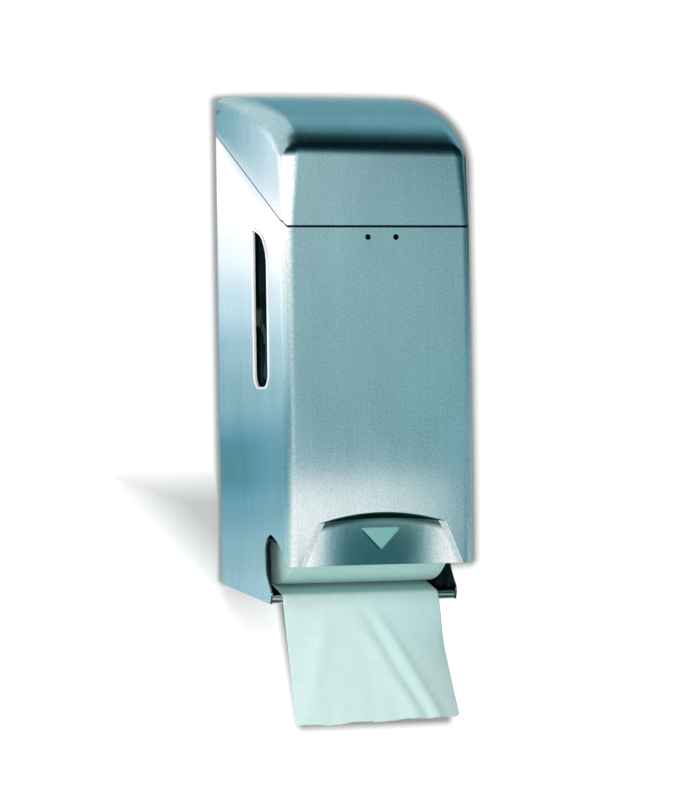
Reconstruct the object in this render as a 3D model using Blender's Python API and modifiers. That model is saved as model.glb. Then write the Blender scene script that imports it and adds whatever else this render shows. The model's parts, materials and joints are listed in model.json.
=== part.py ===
"""Wall dispenser for two toilet rolls: a brushed steel case with a hinged hood,
a key latch, two spindles in moulded tracks, two rolls and the paper that hangs out.

The wall is the plane y = 0 and the dispenser stands out from it along -Y. Every
outline is written as (distance out from the wall, height above the side tips), and
the origin lies on the wall, in the middle of the back plate.
"""
import math

import bmesh
import bpy
from mathutils import Matrix, Vector

# Paper rolls, which set the size of the case
ROLL_RADIUS = 0.051
ROLL_WIDTH = 0.100
ROLL_SIDE_GAP = 0.010
ROLL_REAR_GAP = 0.0295
ROLL_FRONT_GAP = 0.0065
ROLL_BOTTOM_HEIGHT = 0.011
ROLL_TO_ROLL_GAP = 0.010
ROLL_OUT = ROLL_REAR_GAP + ROLL_RADIUS
LOWER_ROLL_HEIGHT = ROLL_BOTTOM_HEIGHT + ROLL_RADIUS
RESERVE_ROLL_HEIGHT = LOWER_ROLL_HEIGHT + 2.0 * ROLL_RADIUS + ROLL_TO_ROLL_GAP

# Case
CASE_WIDTH = ROLL_WIDTH + 2.0 * ROLL_SIDE_GAP
CASE_DEPTH = ROLL_REAR_GAP + 2.0 * ROLL_RADIUS + ROLL_FRONT_GAP
STEEL = 0.001
SEAT_GAP = 0.0003
OVERRUN = 0.004
CORNER_RADIUS = 0.0065
SIDE_SETBACK = 0.0005
SIDE_REAR_RISE = 0.0086
SIDE_REAR_RADIUS = 0.0025
FRONT_BOTTOM_HEIGHT = 0.0235

# Seam between case and hood
SEAM_FRONT_RISE = 0.0531
SEAM_KNEE_RISE = 0.0032
SEAM_REAR_RISE = 0.0649
SEAM_KNEE_SETBACK = 0.0035
SEAM_GAP = 0.0008
SEAM_FRONT_HEIGHT = RESERVE_ROLL_HEIGHT + SEAM_FRONT_RISE
SEAM_KNEE_HEIGHT = SEAM_FRONT_HEIGHT + SEAM_KNEE_RISE
SEAM_REAR_HEIGHT = SEAM_FRONT_HEIGHT + SEAM_REAR_RISE
SEAM_KNEE_OUT = CASE_DEPTH - SEAM_KNEE_SETBACK

# Opening at the lower front corner of each side, behind it the side's lowest tip
CUTOUT_WIDTH = 0.044
CUTOUT_HEIGHT = 0.0422
CUTOUT_FRONT_SETBACK = 0.002
CUTOUT_SIDE_REACH = 0.0085
CUTOUT_SHARES = (
    (0.259, 0.159), (0.139, 0.308), (0.030, 0.469), (0.0, 0.690), (0.045, 0.865),
    (0.134, 0.948), (0.284, 1.0), (0.500, 0.934), (0.641, 0.865), (0.861, 0.683),
)
TIP_REACH = 0.0099
CUTOUT_FRONT_OUT = CASE_DEPTH - CUTOUT_FRONT_SETBACK
CUTOUT_REAR_OUT = CUTOUT_FRONT_OUT - CUTOUT_WIDTH
TIP_OUT = CUTOUT_REAR_OUT + TIP_REACH

# Window in each side, placed about the reserve roll's axis
WINDOW_REAR_REACH = 0.005
WINDOW_WIDTH = 0.0295
WINDOW_BOTTOM_DROP = 0.043
WINDOW_REAR_TOP_RISE = 0.0555
WINDOW_FRONT_TOP_RISE = 0.047
WINDOW_BOTTOM_RADIUS = 0.0095
WINDOW_REAR_RADIUS = 0.004
WINDOW_FRONT_RADIUS = 0.016

# Key holes
KEY_HOLE_RADIUS = 0.00175
KEY_HOLE_SPACING = 0.0178
KEY_HOLE_DROP = 0.0061
LOCK_SHIFT = 0.0023

# Finger recess and the arrow in it, measured up from the front's lower edge
RECESS_FOOT_MARGIN = 0.0081
RECESS_DEPTH = 0.0040
RECESS_LEAN = math.radians(5.5)
RECESS_RISE = 0.0319
RECESS_ARCH_RISE = 0.0064
RECESS_END_HEIGHT = FRONT_BOTTOM_HEIGHT + RECESS_RISE - RECESS_ARCH_RISE
RECESS_FULL_DEPTH = RECESS_DEPTH + (RECESS_RISE - RECESS_ARCH_RISE) * math.tan(RECESS_LEAN)
RECESS_FOOT_HALF_WIDTH = CASE_WIDTH / 2.0 - RECESS_FOOT_MARGIN
RECESS_FLOOR_RADIUS = (RECESS_FOOT_HALF_WIDTH ** 2 + RECESS_FULL_DEPTH ** 2) / (2.0 * RECESS_FULL_DEPTH)
RECESS_HALF_WIDTH = math.sqrt(RECESS_DEPTH * (2.0 * RECESS_FLOOR_RADIUS - RECESS_DEPTH))
ARROW_HALF_WIDTH = 0.0125
ARROW_TOP_RISE = 0.0223
ARROW_TIP_RISE = 0.0093
ARROW_FACE_DEPTH = 0.0024
ARROW_CORNER_RADIUS = 0.0009
ARROW_BEVEL = 0.0008

# Hood
HOOD_REAR_RISE = 0.0874
HOOD_REAR_SETBACK = 0.002
HOOD_TOP_RADIUS = 0.390
HOOD_SHOULDER_RADIUS = 0.060
HOOD_BROW_RADIUS = 0.015
HOOD_REAR_ANGLE = math.radians(0.6)
HOOD_BROW_ANGLE = math.radians(52.0)
HOOD_EDGE_REAR_RADIUS = 0.0057
HOOD_EDGE_RADIUS = 0.0150
HOOD_EDGE_BROW_RADIUS = 0.0105
HOOD_EDGE_GROWTH = 0.034
HOOD_SKIRT_BELOW_SEAM = 0.004
NOTCH_DROP = 0.0092
NOTCH_HALF_HEIGHT = 0.0036
NOTCH_REACH = 0.0118
HOOD_REAR_HEIGHT = SEAM_FRONT_HEIGHT + HOOD_REAR_RISE

# Back plate
PLATE_BOTTOM_HEIGHT = 0.012
PLATE_TOP_DROP = 0.0165
PLATE_CORNER_CUT = 0.014
FLANGE_DEPTH = 0.014
FLANGE_BEND_RADIUS = 0.0018
FLANGE_TOP_DROP = 0.010
WALL_HOLE_RADIUS = 0.00325
WALL_HOLE_SPACING_ACROSS = 0.076
WALL_HOLE_SPACING_UP = 0.170
PLATE_TOP_HEIGHT = HOOD_REAR_HEIGHT - PLATE_TOP_DROP
ORIGIN_HEIGHT = (PLATE_BOTTOM_HEIGHT + PLATE_TOP_HEIGHT) / 2.0

# Tray under the rolls, with its rolled lip
LIP_RADIUS = 0.0026
LIP_PROUD = 0.0004
LIP_RAISE = 0.0001
LIP_CURL = math.radians(255.0)
TRAY_FLANGE_TOP_HEIGHT = 0.026
TRAY_BEND_RADIUS = 0.0025
LIP_OUT = TIP_OUT + LIP_PROUD - LIP_RADIUS
LIP_HEIGHT = LIP_RADIUS + LIP_RAISE

# Cores and spindles
CORE_OUTER_RADIUS = 0.022
CORE_WALL = 0.0013
SPINDLE_HUB_LENGTH = 0.011
SPINDLE_SHAFT_RADIUS = 0.010
JOURNAL_RADIUS = 0.006
JOURNAL_CHAMFER = 0.001
JOURNAL_SIDE_GAP = 0.0006

# Roll guides
GUIDE_ROLL_GAP = 0.0035
GUIDE_PLATE = 0.002
GUIDE_RIM = 0.002
GUIDE_REAR_OUT = 0.0035
GUIDE_FRONT_SETBACK = 0.014
GUIDE_SEAM_GAP = 0.0035
GUIDE_STEP_SETBACK = 0.009
GUIDE_STEP_DROP = 0.0047
GUIDE_FLOOR_GAP = 0.0012
GUIDE_CORNER_RADIUS = 0.003
TRACK_CLEARANCE = 0.0003
RAIL_WIDTH = 0.002
RAIL_HEIGHT = 0.0015
GUIDE_BOSS_RADIUS = 0.0045
GUIDE_SCREW_OUT = 0.009
GUIDE_SCREW_LOWER_HEIGHT = 0.060
GUIDE_SCREW_TOP_DROP = 0.052
GUIDE_SCREW_HEIGHTS = (GUIDE_SCREW_LOWER_HEIGHT, SEAM_REAR_HEIGHT - GUIDE_SCREW_TOP_DROP)
SCREW_RADIUS = 0.002
SCREW_HEAD_RADIUS = 0.0038
SCREW_HEAD_HEIGHT = 0.0022
SCREW_SOCKET_RADIUS = 0.0014
SCREW_SOCKET_DEPTH = 0.0013

# Stops that hold the reserve spindle
STOP_PIVOT_OFFSET = 0.014
STOP_THICKNESS = 0.0018
STOP_ARM_HALF_WIDTH = 0.0029
STOP_HUB_RADIUS = 0.0045
STOP_TAIL_LENGTH = 0.019
STOP_TAIL_LEAN = math.radians(8.0)
STOP_PAD_RADIUS = 0.0052
STOP_PEG_RADIUS = 0.002
STOP_PEG_DROP = 0.010
PIVOT_RADIUS = 0.002
PIVOT_HEAD_RADIUS = 0.0035
PIVOT_HEAD = 0.0008
PIVOT_TAIL_RADIUS = 0.003

# Hood hinge
HINGE_OUT = 0.008
HINGE_PIN_RADIUS = 0.0015
HINGE_KNUCKLE_RADIUS = 0.003
HINGE_LENGTH = 0.088
HINGE_KNUCKLES = 5
HINGE_LEAF = 0.0008
HINGE_CASE_LEAF_HEIGHT = 0.012
HINGE_HOOD_LEAF_DEPTH = 0.0145
HINGE_PIN_HEAD_RADIUS = 0.0023
HINGE_PIN_HEAD = 0.001

# Latch
LATCH_HALF_WIDTH = 0.013
LATCH_SPRING = 0.0005
LATCH_TOP_RISE = 0.0309
LATCH_ROOT_RISE = 0.0109
LATCH_KNEE_RISE = 0.0019
LATCH_BOTTOM_DROP = 0.0146
LATCH_SETBACK = 0.0114
LATCH_NOSE_HALF_WIDTH = 0.004
LATCH_NOSE_REACH = 0.0060
LATCH_NOSE_TIP = 0.0009
LATCH_NOSE_DEPTH = 0.0054
KEEPER_HALF_WIDTH = 0.005
KEEPER_BOTTOM_DROP = 0.0211
KEEPER_LEDGE_REACH = 0.0081
KEEPER_UNDERSIDE_DROP = 0.0069
STUD_RADIUS = 0.0015
STUD_SPACING = 0.016
STUD_RISE = 0.0219
STUD_LENGTH = 0.0038
NUT_RADIUS = 0.0034
NUT_THICKNESS = 0.0016
LATCH_TOP_HEIGHT = SEAM_FRONT_HEIGHT + LATCH_TOP_RISE
LATCH_ROOT_HEIGHT = SEAM_FRONT_HEIGHT + LATCH_ROOT_RISE
LATCH_KNEE_HEIGHT = SEAM_FRONT_HEIGHT + LATCH_KNEE_RISE
LATCH_BOTTOM_HEIGHT = SEAM_FRONT_HEIGHT - LATCH_BOTTOM_DROP
KEEPER_BOTTOM_HEIGHT = SEAM_FRONT_HEIGHT - KEEPER_BOTTOM_DROP
KEEPER_UNDERSIDE_HEIGHT = SEAM_FRONT_HEIGHT - KEEPER_UNDERSIDE_DROP
STUD_HEIGHT = SEAM_FRONT_HEIGHT + STUD_RISE
LATCH_LEAF_OUT = CASE_DEPTH - STEEL - LATCH_SETBACK

# Hanging paper
PAPER = 0.0006
PAPER_DROP = 0.0783
PAPER_LEAN = math.radians(10.3)
PAPER_SHIFT = 0.0024
PAPER_SKEW = math.radians(3.2)
PAPER_FLARE_SHARE = 0.025
PAPER_EDGE_RISE = 0.003
PAPER_FOLD_DEPTH = 0.0034
PAPER_TORN_DEPTH = 0.0007

ARC_STEP = math.radians(15.0)
ROUND_SIDES = 32

HALF_WIDTH = CASE_WIDTH / 2.0
INNER_HALF = HALF_WIDTH - STEEL
INNER_DEPTH = CASE_DEPTH - STEEL

parts = bpy.data.collections.new("double_roll_dispenser")
cutters = bpy.data.collections.new("cutters")


def clear_scene():
    """Remove every object of the start-up scene."""
    for item in list(bpy.data.objects):
        bpy.data.objects.remove(item, do_unlink=True)
    bpy.context.scene.collection.children.link(parts)
    bpy.context.scene.collection.children.link(cutters)


def make_material(name, color, roughness, metallic):
    """Return a Principled material."""
    material = bpy.data.materials.new(name)
    material.use_nodes = True
    shader = material.node_tree.nodes["Principled BSDF"]
    shader.inputs["Base Color"].default_value = (*color, 1.0)
    shader.inputs["Roughness"].default_value = roughness
    shader.inputs["Metallic"].default_value = metallic
    return material


STEEL_LOOK = ("brushed_steel", (0.44, 0.57, 0.60), 0.30, 1.0)
BARE_LOOK = ("bare_steel", (0.52, 0.56, 0.57), 0.38, 1.0)
SPRING_LOOK = ("spring_steel", (0.36, 0.40, 0.43), 0.28, 1.0)
BLACK_LOOK = ("black_plastic", (0.012, 0.015, 0.016), 0.42, 0.0)
PAPER_LOOK = ("tissue", (0.80, 0.88, 0.85), 0.95, 0.0)
CARD_LOOK = ("cardboard", (0.42, 0.36, 0.27), 0.90, 0.0)


# Tools for outlines

def rounded(corners):
    """Turn corners of (out, height, radius) into an outline with arcs."""
    outline = []
    count = len(corners)
    for index, (a, b, radius) in enumerate(corners):
        here = Vector((a, b))
        before = (Vector(corners[index - 1][:2]) - here).normalized()
        after = (Vector(corners[(index + 1) % count][:2]) - here).normalized()
        if radius == 0.0:
            outline.append(tuple(here))
            continue
        half_angle = before.angle(after) / 2.0
        reach = radius / math.tan(half_angle)
        start = here + before * reach
        end = here + after * reach
        centre = here + (before + after).normalized() * (radius / math.sin(half_angle))
        outline.extend(arc_between(centre, start, end))
    return outline


def arc_between(centre, start, end):
    """Points on the shorter arc about centre from start to end."""
    first = start - centre
    second = end - centre
    turn = math.atan2(first.x * second.y - first.y * second.x, first.dot(second))
    steps = max(2, math.ceil(abs(turn) / ARC_STEP))
    points = []
    for step in range(steps + 1):
        angle = turn * step / steps
        points.append((
            centre.x + first.x * math.cos(angle) - first.y * math.sin(angle),
            centre.y + first.x * math.sin(angle) + first.y * math.cos(angle),
        ))
    return points


def on_circle(out, height, radius, angle):
    """Point on a circle, its angle measured from the forward direction."""
    return out + radius * math.cos(angle), height + radius * math.sin(angle)


def smooth_curve(points, steps):
    """Catmull-Rom curve through the inner points, with the end points as guides."""
    curve = []
    for index in range(1, len(points) - 2):
        a, b, c, d = (Vector(points[index + shift]) for shift in (-1, 0, 1, 2))
        for step in range(steps):
            t = step / steps
            curve.append(tuple(
                0.5 * ((2.0 * b) + (c - a) * t + (2.0 * a - 5.0 * b + 4.0 * c - d) * t * t
                       + (3.0 * b - a - 3.0 * c + d) * t * t * t)
            ))
    curve.append(tuple(points[-2]))
    return curve


def seam_height(out):
    """Height of the slanted seam at a distance out from the wall."""
    share = out / SEAM_KNEE_OUT
    return SEAM_REAR_HEIGHT + (SEAM_KNEE_HEIGHT - SEAM_REAR_HEIGHT) * share


def side_floor_height(out):
    """Height of the sides' lower edge at a distance out from the wall."""
    return SIDE_REAR_RISE * (1.0 - out / TIP_OUT)


# Tools for objects

def place(out, height):
    """World y and z of a point in the side view."""
    return -out, height - ORIGIN_HEIGHT


def finish(item, look, collection=parts):
    """Name the mesh, shade it and give it its material."""
    for owner in list(item.users_collection):
        owner.objects.unlink(item)
    collection.objects.link(item)
    item.data.name = item.name
    item.data.shade_smooth()
    item.data.set_sharp_from_angle(angle=math.radians(28.0))
    if collection is cutters:
        item.hide_render = True
        item.display_type = "WIRE"
        return item
    name, color, roughness, metallic = look
    item.data.materials.clear()
    item.data.materials.append(make_material(item.name + "_" + name, color, roughness, metallic))
    return item


def filled_prism(name, outline, thickness, matrix, look, collection=parts):
    """Closed flat outline given a thickness about its own plane, as a mesh."""
    curve = bpy.data.curves.new(name, "CURVE")
    curve.dimensions = "2D"
    curve.fill_mode = "BOTH"
    curve.extrude = thickness / 2.0
    spline = curve.splines.new("POLY")
    spline.points.add(len(outline) - 1)
    for point, (a, b) in zip(spline.points, outline):
        point.co = (a, b, 0.0, 1.0)
    spline.use_cyclic_u = True
    holder = bpy.data.objects.new(name + "_curve", curve)
    bpy.context.scene.collection.objects.link(holder)
    graph = bpy.context.evaluated_depsgraph_get()
    mesh = bpy.data.meshes.new_from_object(holder.evaluated_get(graph))
    bpy.data.objects.remove(holder, do_unlink=True)
    work = bmesh.new()
    work.from_mesh(mesh)
    bmesh.ops.remove_doubles(work, verts=work.verts, dist=SEAT_GAP / 100.0)
    bmesh.ops.recalc_face_normals(work, faces=work.faces)
    work.to_mesh(mesh)
    work.free()
    item = bpy.data.objects.new(name, mesh)
    bpy.context.scene.collection.objects.link(item)
    item.matrix_world = matrix
    return finish(item, look, collection)


def side_prism(name, outline, x_low, x_high, look=None, collection=parts):
    """Prism of a side-view outline between two planes across the width."""
    matrix = Matrix((
        (0.0, 0.0, -1.0, (x_low + x_high) / 2.0),
        (-1.0, 0.0, 0.0, 0.0),
        (0.0, 1.0, 0.0, -ORIGIN_HEIGHT),
        (0.0, 0.0, 0.0, 1.0),
    ))
    return filled_prism(name, outline, x_high - x_low, matrix, look, collection)


def front_prism(name, outline, out_low, out_high, look=None, collection=parts):
    """Prism of a front-view outline of (x, height) between two distances out."""
    matrix = Matrix((
        (1.0, 0.0, 0.0, 0.0),
        (0.0, 0.0, -1.0, -(out_low + out_high) / 2.0),
        (0.0, 1.0, 0.0, -ORIGIN_HEIGHT),
        (0.0, 0.0, 0.0, 1.0),
    ))
    return filled_prism(name, outline, out_high - out_low, matrix, look, collection)


def box(name, x_range, out_range, height_range, look=None, collection=parts):
    """Box between limits across, out and up."""
    bpy.ops.mesh.primitive_cube_add(size=1.0)
    item = bpy.context.object
    item.name = name
    size = Vector((x_range[1] - x_range[0], out_range[1] - out_range[0],
                   height_range[1] - height_range[0]))
    item.data.transform(Matrix.Diagonal((*size, 1.0)))
    y, z = place(sum(out_range) / 2.0, sum(height_range) / 2.0)
    item.location = (sum(x_range) / 2.0, y, z)
    return finish(item, look, collection)


def rod(name, radius, x_range, out, height, look=None, collection=parts, sides=ROUND_SIDES):
    """Cylinder that lies across the width."""
    bpy.ops.mesh.primitive_cylinder_add(
        vertices=sides, radius=radius, depth=x_range[1] - x_range[0])
    item = bpy.context.object
    item.name = name
    item.rotation_euler = (0.0, math.pi / 2.0, 0.0)
    item.location = (sum(x_range) / 2.0, *place(out, height))
    return finish(item, look, collection)


def pin(name, radius, x, out_range, height, look=None, collection=parts, sides=ROUND_SIDES):
    """Cylinder that points out from the wall."""
    bpy.ops.mesh.primitive_cylinder_add(
        vertices=sides, radius=radius, depth=out_range[1] - out_range[0])
    item = bpy.context.object
    item.name = name
    item.rotation_euler = (math.pi / 2.0, 0.0, 0.0)
    item.location = (x, *place(sum(out_range) / 2.0, height))
    return finish(item, look, collection)


def turned(name, profile, out, height, look, sides=ROUND_SIDES, ring_shaped=False):
    """Turned piece about an axis across the width, from (x, radius) points."""
    mesh = bpy.data.meshes.new(name)
    work = bmesh.new()
    ring = [work.verts.new((radius, 0.0, x)) for x, radius in profile]
    for first, second in zip(ring, ring[1:]):
        work.edges.new((first, second))
    if ring_shaped:
        work.edges.new((ring[-1], ring[0]))
    work.to_mesh(mesh)
    work.free()
    item = bpy.data.objects.new(name, mesh)
    bpy.context.scene.collection.objects.link(item)
    item.rotation_euler = (0.0, math.pi / 2.0, 0.0)
    item.location = (0.0, *place(out, height))
    finish(item, look)
    screw = item.modifiers.new("turn", "SCREW")
    screw.axis = "Z"
    screw.steps = sides
    screw.render_steps = sides
    screw.use_merge_vertices = True
    screw.merge_threshold = SEAT_GAP / 30.0
    return item


def thin_sheet(name, path, length_vector, thickness, look):
    """Sheet metal: a path of points swept straight, thickened to its inner side."""
    mesh = bpy.data.meshes.new(name)
    work = bmesh.new()
    line = [work.verts.new(point) for point in path]
    edges = [work.edges.new(pair) for pair in zip(line, line[1:])]
    swept = bmesh.ops.extrude_edge_only(work, edges=edges)
    moved = [piece for piece in swept["geom"] if isinstance(piece, bmesh.types.BMVert)]
    bmesh.ops.translate(work, verts=moved, vec=length_vector)
    work.to_mesh(mesh)
    work.free()
    item = bpy.data.objects.new(name, mesh)
    bpy.context.scene.collection.objects.link(item)
    finish(item, look)
    solid = item.modifiers.new("thickness", "SOLIDIFY")
    solid.thickness = abs(thickness)
    solid.offset = math.copysign(1.0, thickness)
    solid.use_even_offset = True
    return item


def combine(item, tool, operation):
    """Cut, join or intersect an object with a cutter object."""
    step = item.modifiers.new(tool.name, "BOOLEAN")
    step.operation = operation
    step.object = tool
    step.solver = "EXACT"
    return item


def cut(item, *tools):
    """Cut an object with each tool."""
    for tool in tools:
        combine(item, tool, "DIFFERENCE")
    return item


def join(item, *tools):
    """Join each tool to an object."""
    for tool in tools:
        combine(item, tool, "UNION")
    return item


def soften(item, width, segments=2):
    """Round the sharp edges of an object."""
    bevel = item.modifiers.new("soft_edges", "BEVEL")
    bevel.width = width
    bevel.segments = segments
    bevel.limit_method = "ANGLE"
    bevel.angle_limit = math.radians(40.0)
    return item


def carry(name, items, x, out, height):
    """Parent moving pieces to an empty that stands on their joint's axis."""
    axis = bpy.data.objects.new(name, None)
    axis.empty_display_size = HINGE_OUT
    axis.location = (x, *place(out, height))
    parts.objects.link(axis)
    for item in items:
        item.parent = axis
        item.matrix_parent_inverse = Matrix.Translation(axis.location).inverted()


# Shared outlines

def window_outline():
    """Outline of the window in each side."""
    rear = ROLL_OUT - WINDOW_REAR_REACH
    front = rear + WINDOW_WIDTH
    bottom = RESERVE_ROLL_HEIGHT - WINDOW_BOTTOM_DROP
    return rounded((
        (rear, bottom, WINDOW_BOTTOM_RADIUS),
        (front, bottom, WINDOW_BOTTOM_RADIUS),
        (front, RESERVE_ROLL_HEIGHT + WINDOW_FRONT_TOP_RISE, WINDOW_FRONT_RADIUS),
        (rear, RESERVE_ROLL_HEIGHT + WINDOW_REAR_TOP_RISE, WINDOW_REAR_RADIUS),
    ))


def cutout_points():
    """Outline of the lower front opening, from the tip up and round to the front."""
    inner = [(CUTOUT_REAR_OUT + a * CUTOUT_WIDTH, b * CUTOUT_HEIGHT) for a, b in CUTOUT_SHARES]
    tip = (TIP_OUT, 0.0)
    front = (CUTOUT_FRONT_OUT, FRONT_BOTTOM_HEIGHT)
    return smooth_curve([tip, tip, *inner, front, front], 4)


def bottom_outline():
    """Everything below a side panel, with the lower front opening."""
    low = -CASE_DEPTH
    far = CASE_DEPTH + OVERRUN
    rear = SIDE_SETBACK
    # the rear corner is rounded, so the cut climbs behind it
    corner_height = side_floor_height(rear)
    climb = rounded((
        (-OVERRUN, corner_height + SIDE_REAR_RADIUS * 4.0, 0.0),
        (rear, corner_height + SIDE_REAR_RADIUS * 4.0, 0.0),
        (rear, corner_height, SIDE_REAR_RADIUS),
        (TIP_OUT, 0.0, 0.0),
    ))
    return [*climb, *cutout_points()[1:], (far, FRONT_BOTTOM_HEIGHT), (far, low), (-OVERRUN, low)]


def seam_outline(lift, top):
    """Region above (top) or below the seam, moved up or down by half the gap."""
    rear = (-OVERRUN, seam_height(-OVERRUN) + lift)
    knee = (SEAM_KNEE_OUT, SEAM_KNEE_HEIGHT + lift)
    front = (INNER_DEPTH, SEAM_FRONT_HEIGHT + lift)
    far = (CASE_DEPTH + OVERRUN, SEAM_FRONT_HEIGHT + lift)
    end = SEAM_REAR_HEIGHT + CASE_DEPTH if top else 0.0
    return [rear, knee, front, far, (far[0], end), (-OVERRUN, end)]


def hood_profile():
    """Stations of the hood's outer line from the wall to the front's lower edge.

    Each station is (out, height, slope angle, edge radius).
    """
    budget = CASE_DEPTH - HOOD_BROW_RADIUS * (1.0 - math.sin(HOOD_BROW_ANGLE))
    shoulder_end = math.sin(HOOD_BROW_ANGLE)
    top_start = math.sin(HOOD_REAR_ANGLE)
    bend = (budget + HOOD_TOP_RADIUS * top_start - HOOD_SHOULDER_RADIUS * shoulder_end)
    bend_angle = math.asin(bend / (HOOD_TOP_RADIUS - HOOD_SHOULDER_RADIUS))
    arcs = (
        (HOOD_TOP_RADIUS, HOOD_REAR_ANGLE, bend_angle, 14),
        (HOOD_SHOULDER_RADIUS, bend_angle, HOOD_BROW_ANGLE, 7),
        (HOOD_BROW_RADIUS, HOOD_BROW_ANGLE, math.pi / 2.0, 5),
    )
    line = [(0.0, HOOD_REAR_HEIGHT, HOOD_REAR_ANGLE)]
    for radius, first, last, steps in arcs:
        out, height, _ = line[-1]
        for step in range(1, steps + 1):
            angle = first + (last - first) * step / steps
            line.append((
                out + radius * (math.sin(angle) - math.sin(first)),
                height - radius * (math.cos(first) - math.cos(angle)),
                angle,
            ))
    brow_height = line[-1][1]
    skirt = SEAM_FRONT_HEIGHT - HOOD_SKIRT_BELOW_SEAM
    for step in range(1, 5):
        line.append((CASE_DEPTH, brow_height + (skirt - brow_height) * step / 4.0, math.pi / 2.0))
    stations = []
    for out, height, angle in line:
        if out < HOOD_EDGE_GROWTH:
            grown = math.sin(out / HOOD_EDGE_GROWTH * math.pi / 2.0)
            edge = HOOD_EDGE_REAR_RADIUS + (HOOD_EDGE_RADIUS - HOOD_EDGE_REAR_RADIUS) * grown
        elif angle < bend_angle:
            edge = HOOD_EDGE_RADIUS
        elif height > brow_height:
            share = (angle - bend_angle) / (math.pi / 2.0 - bend_angle)
            eased = share * share * (3.0 - 2.0 * share)
            edge = HOOD_EDGE_RADIUS + (HOOD_EDGE_BROW_RADIUS - HOOD_EDGE_RADIUS) * eased
        else:
            share = (brow_height - height) / (brow_height - SEAM_FRONT_HEIGHT)
            edge = HOOD_EDGE_BROW_RADIUS + (CORNER_RADIUS - HOOD_EDGE_BROW_RADIUS) * min(share, 1.0)
        stations.append((out, height, angle, edge))
    # the first station moves forward to the hood's rear edge
    slope = math.tan(HOOD_REAR_ANGLE)
    stations[0] = (HOOD_REAR_SETBACK, HOOD_REAR_HEIGHT - HOOD_REAR_SETBACK * slope,
                   HOOD_REAR_ANGLE, HOOD_EDGE_REAR_RADIUS)
    return stations


# Sheet metal pieces

def make_back_plate():
    """Flat plate on the wall with a flange at each side."""
    half = INNER_HALF - SEAT_GAP
    flange_top = SEAM_REAR_HEIGHT - FLANGE_TOP_DROP
    corners = ((-half, FLANGE_DEPTH, 0.0), (-half, 0.0, FLANGE_BEND_RADIUS),
               (half, 0.0, FLANGE_BEND_RADIUS), (half, FLANGE_DEPTH, 0.0))
    path = rounded(corners)
    plate = thin_sheet(
        "back_plate", [(x, *place(out, PLATE_BOTTOM_HEIGHT)) for x, out in path],
        Vector((0.0, 0.0, PLATE_TOP_HEIGHT - PLATE_BOTTOM_HEIGHT)), -STEEL, STEEL_LOOK)
    for side in (-1.0, 1.0):
        word = "left" if side < 0.0 else "right"
        span = sorted((side * (half - STEEL - SEAT_GAP), side * (half + OVERRUN)))
        flange_cut = box("flange_top_cut_" + word, span, (STEEL, FLANGE_DEPTH + OVERRUN),
                         (flange_top, PLATE_TOP_HEIGHT + OVERRUN), None, cutters)
        corner = [(side * (half + OVERRUN), flange_top - OVERRUN / 4.0),
                  (side * (half + OVERRUN), PLATE_TOP_HEIGHT + OVERRUN),
                  (side * (half - PLATE_CORNER_CUT), PLATE_TOP_HEIGHT + OVERRUN),
                  (side * (half - PLATE_CORNER_CUT), PLATE_TOP_HEIGHT)]
        corner_cut = front_prism("plate_corner_cut_" + word, corner, -OVERRUN,
                                 FLANGE_DEPTH + OVERRUN, None, cutters)
        cut(plate, flange_cut, corner_cut)
        for level in (-1.0, 1.0):
            hole = pin("wall_hole_%s_%s" % (word, "low" if level < 0.0 else "high"),
                       WALL_HOLE_RADIUS, side * WALL_HOLE_SPACING_ACROSS / 2.0,
                       (-OVERRUN, STEEL + OVERRUN),
                       ORIGIN_HEIGHT + level * WALL_HOLE_SPACING_UP / 2.0, None, cutters)
            cut(plate, hole)
        for index, height in enumerate(GUIDE_SCREW_HEIGHTS):
            hole = rod("flange_hole_%s_%d" % (word, index), SCREW_RADIUS + SEAT_GAP, span,
                       GUIDE_SCREW_OUT, height, None, cutters)
            cut(plate, hole)
    return plate


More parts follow.
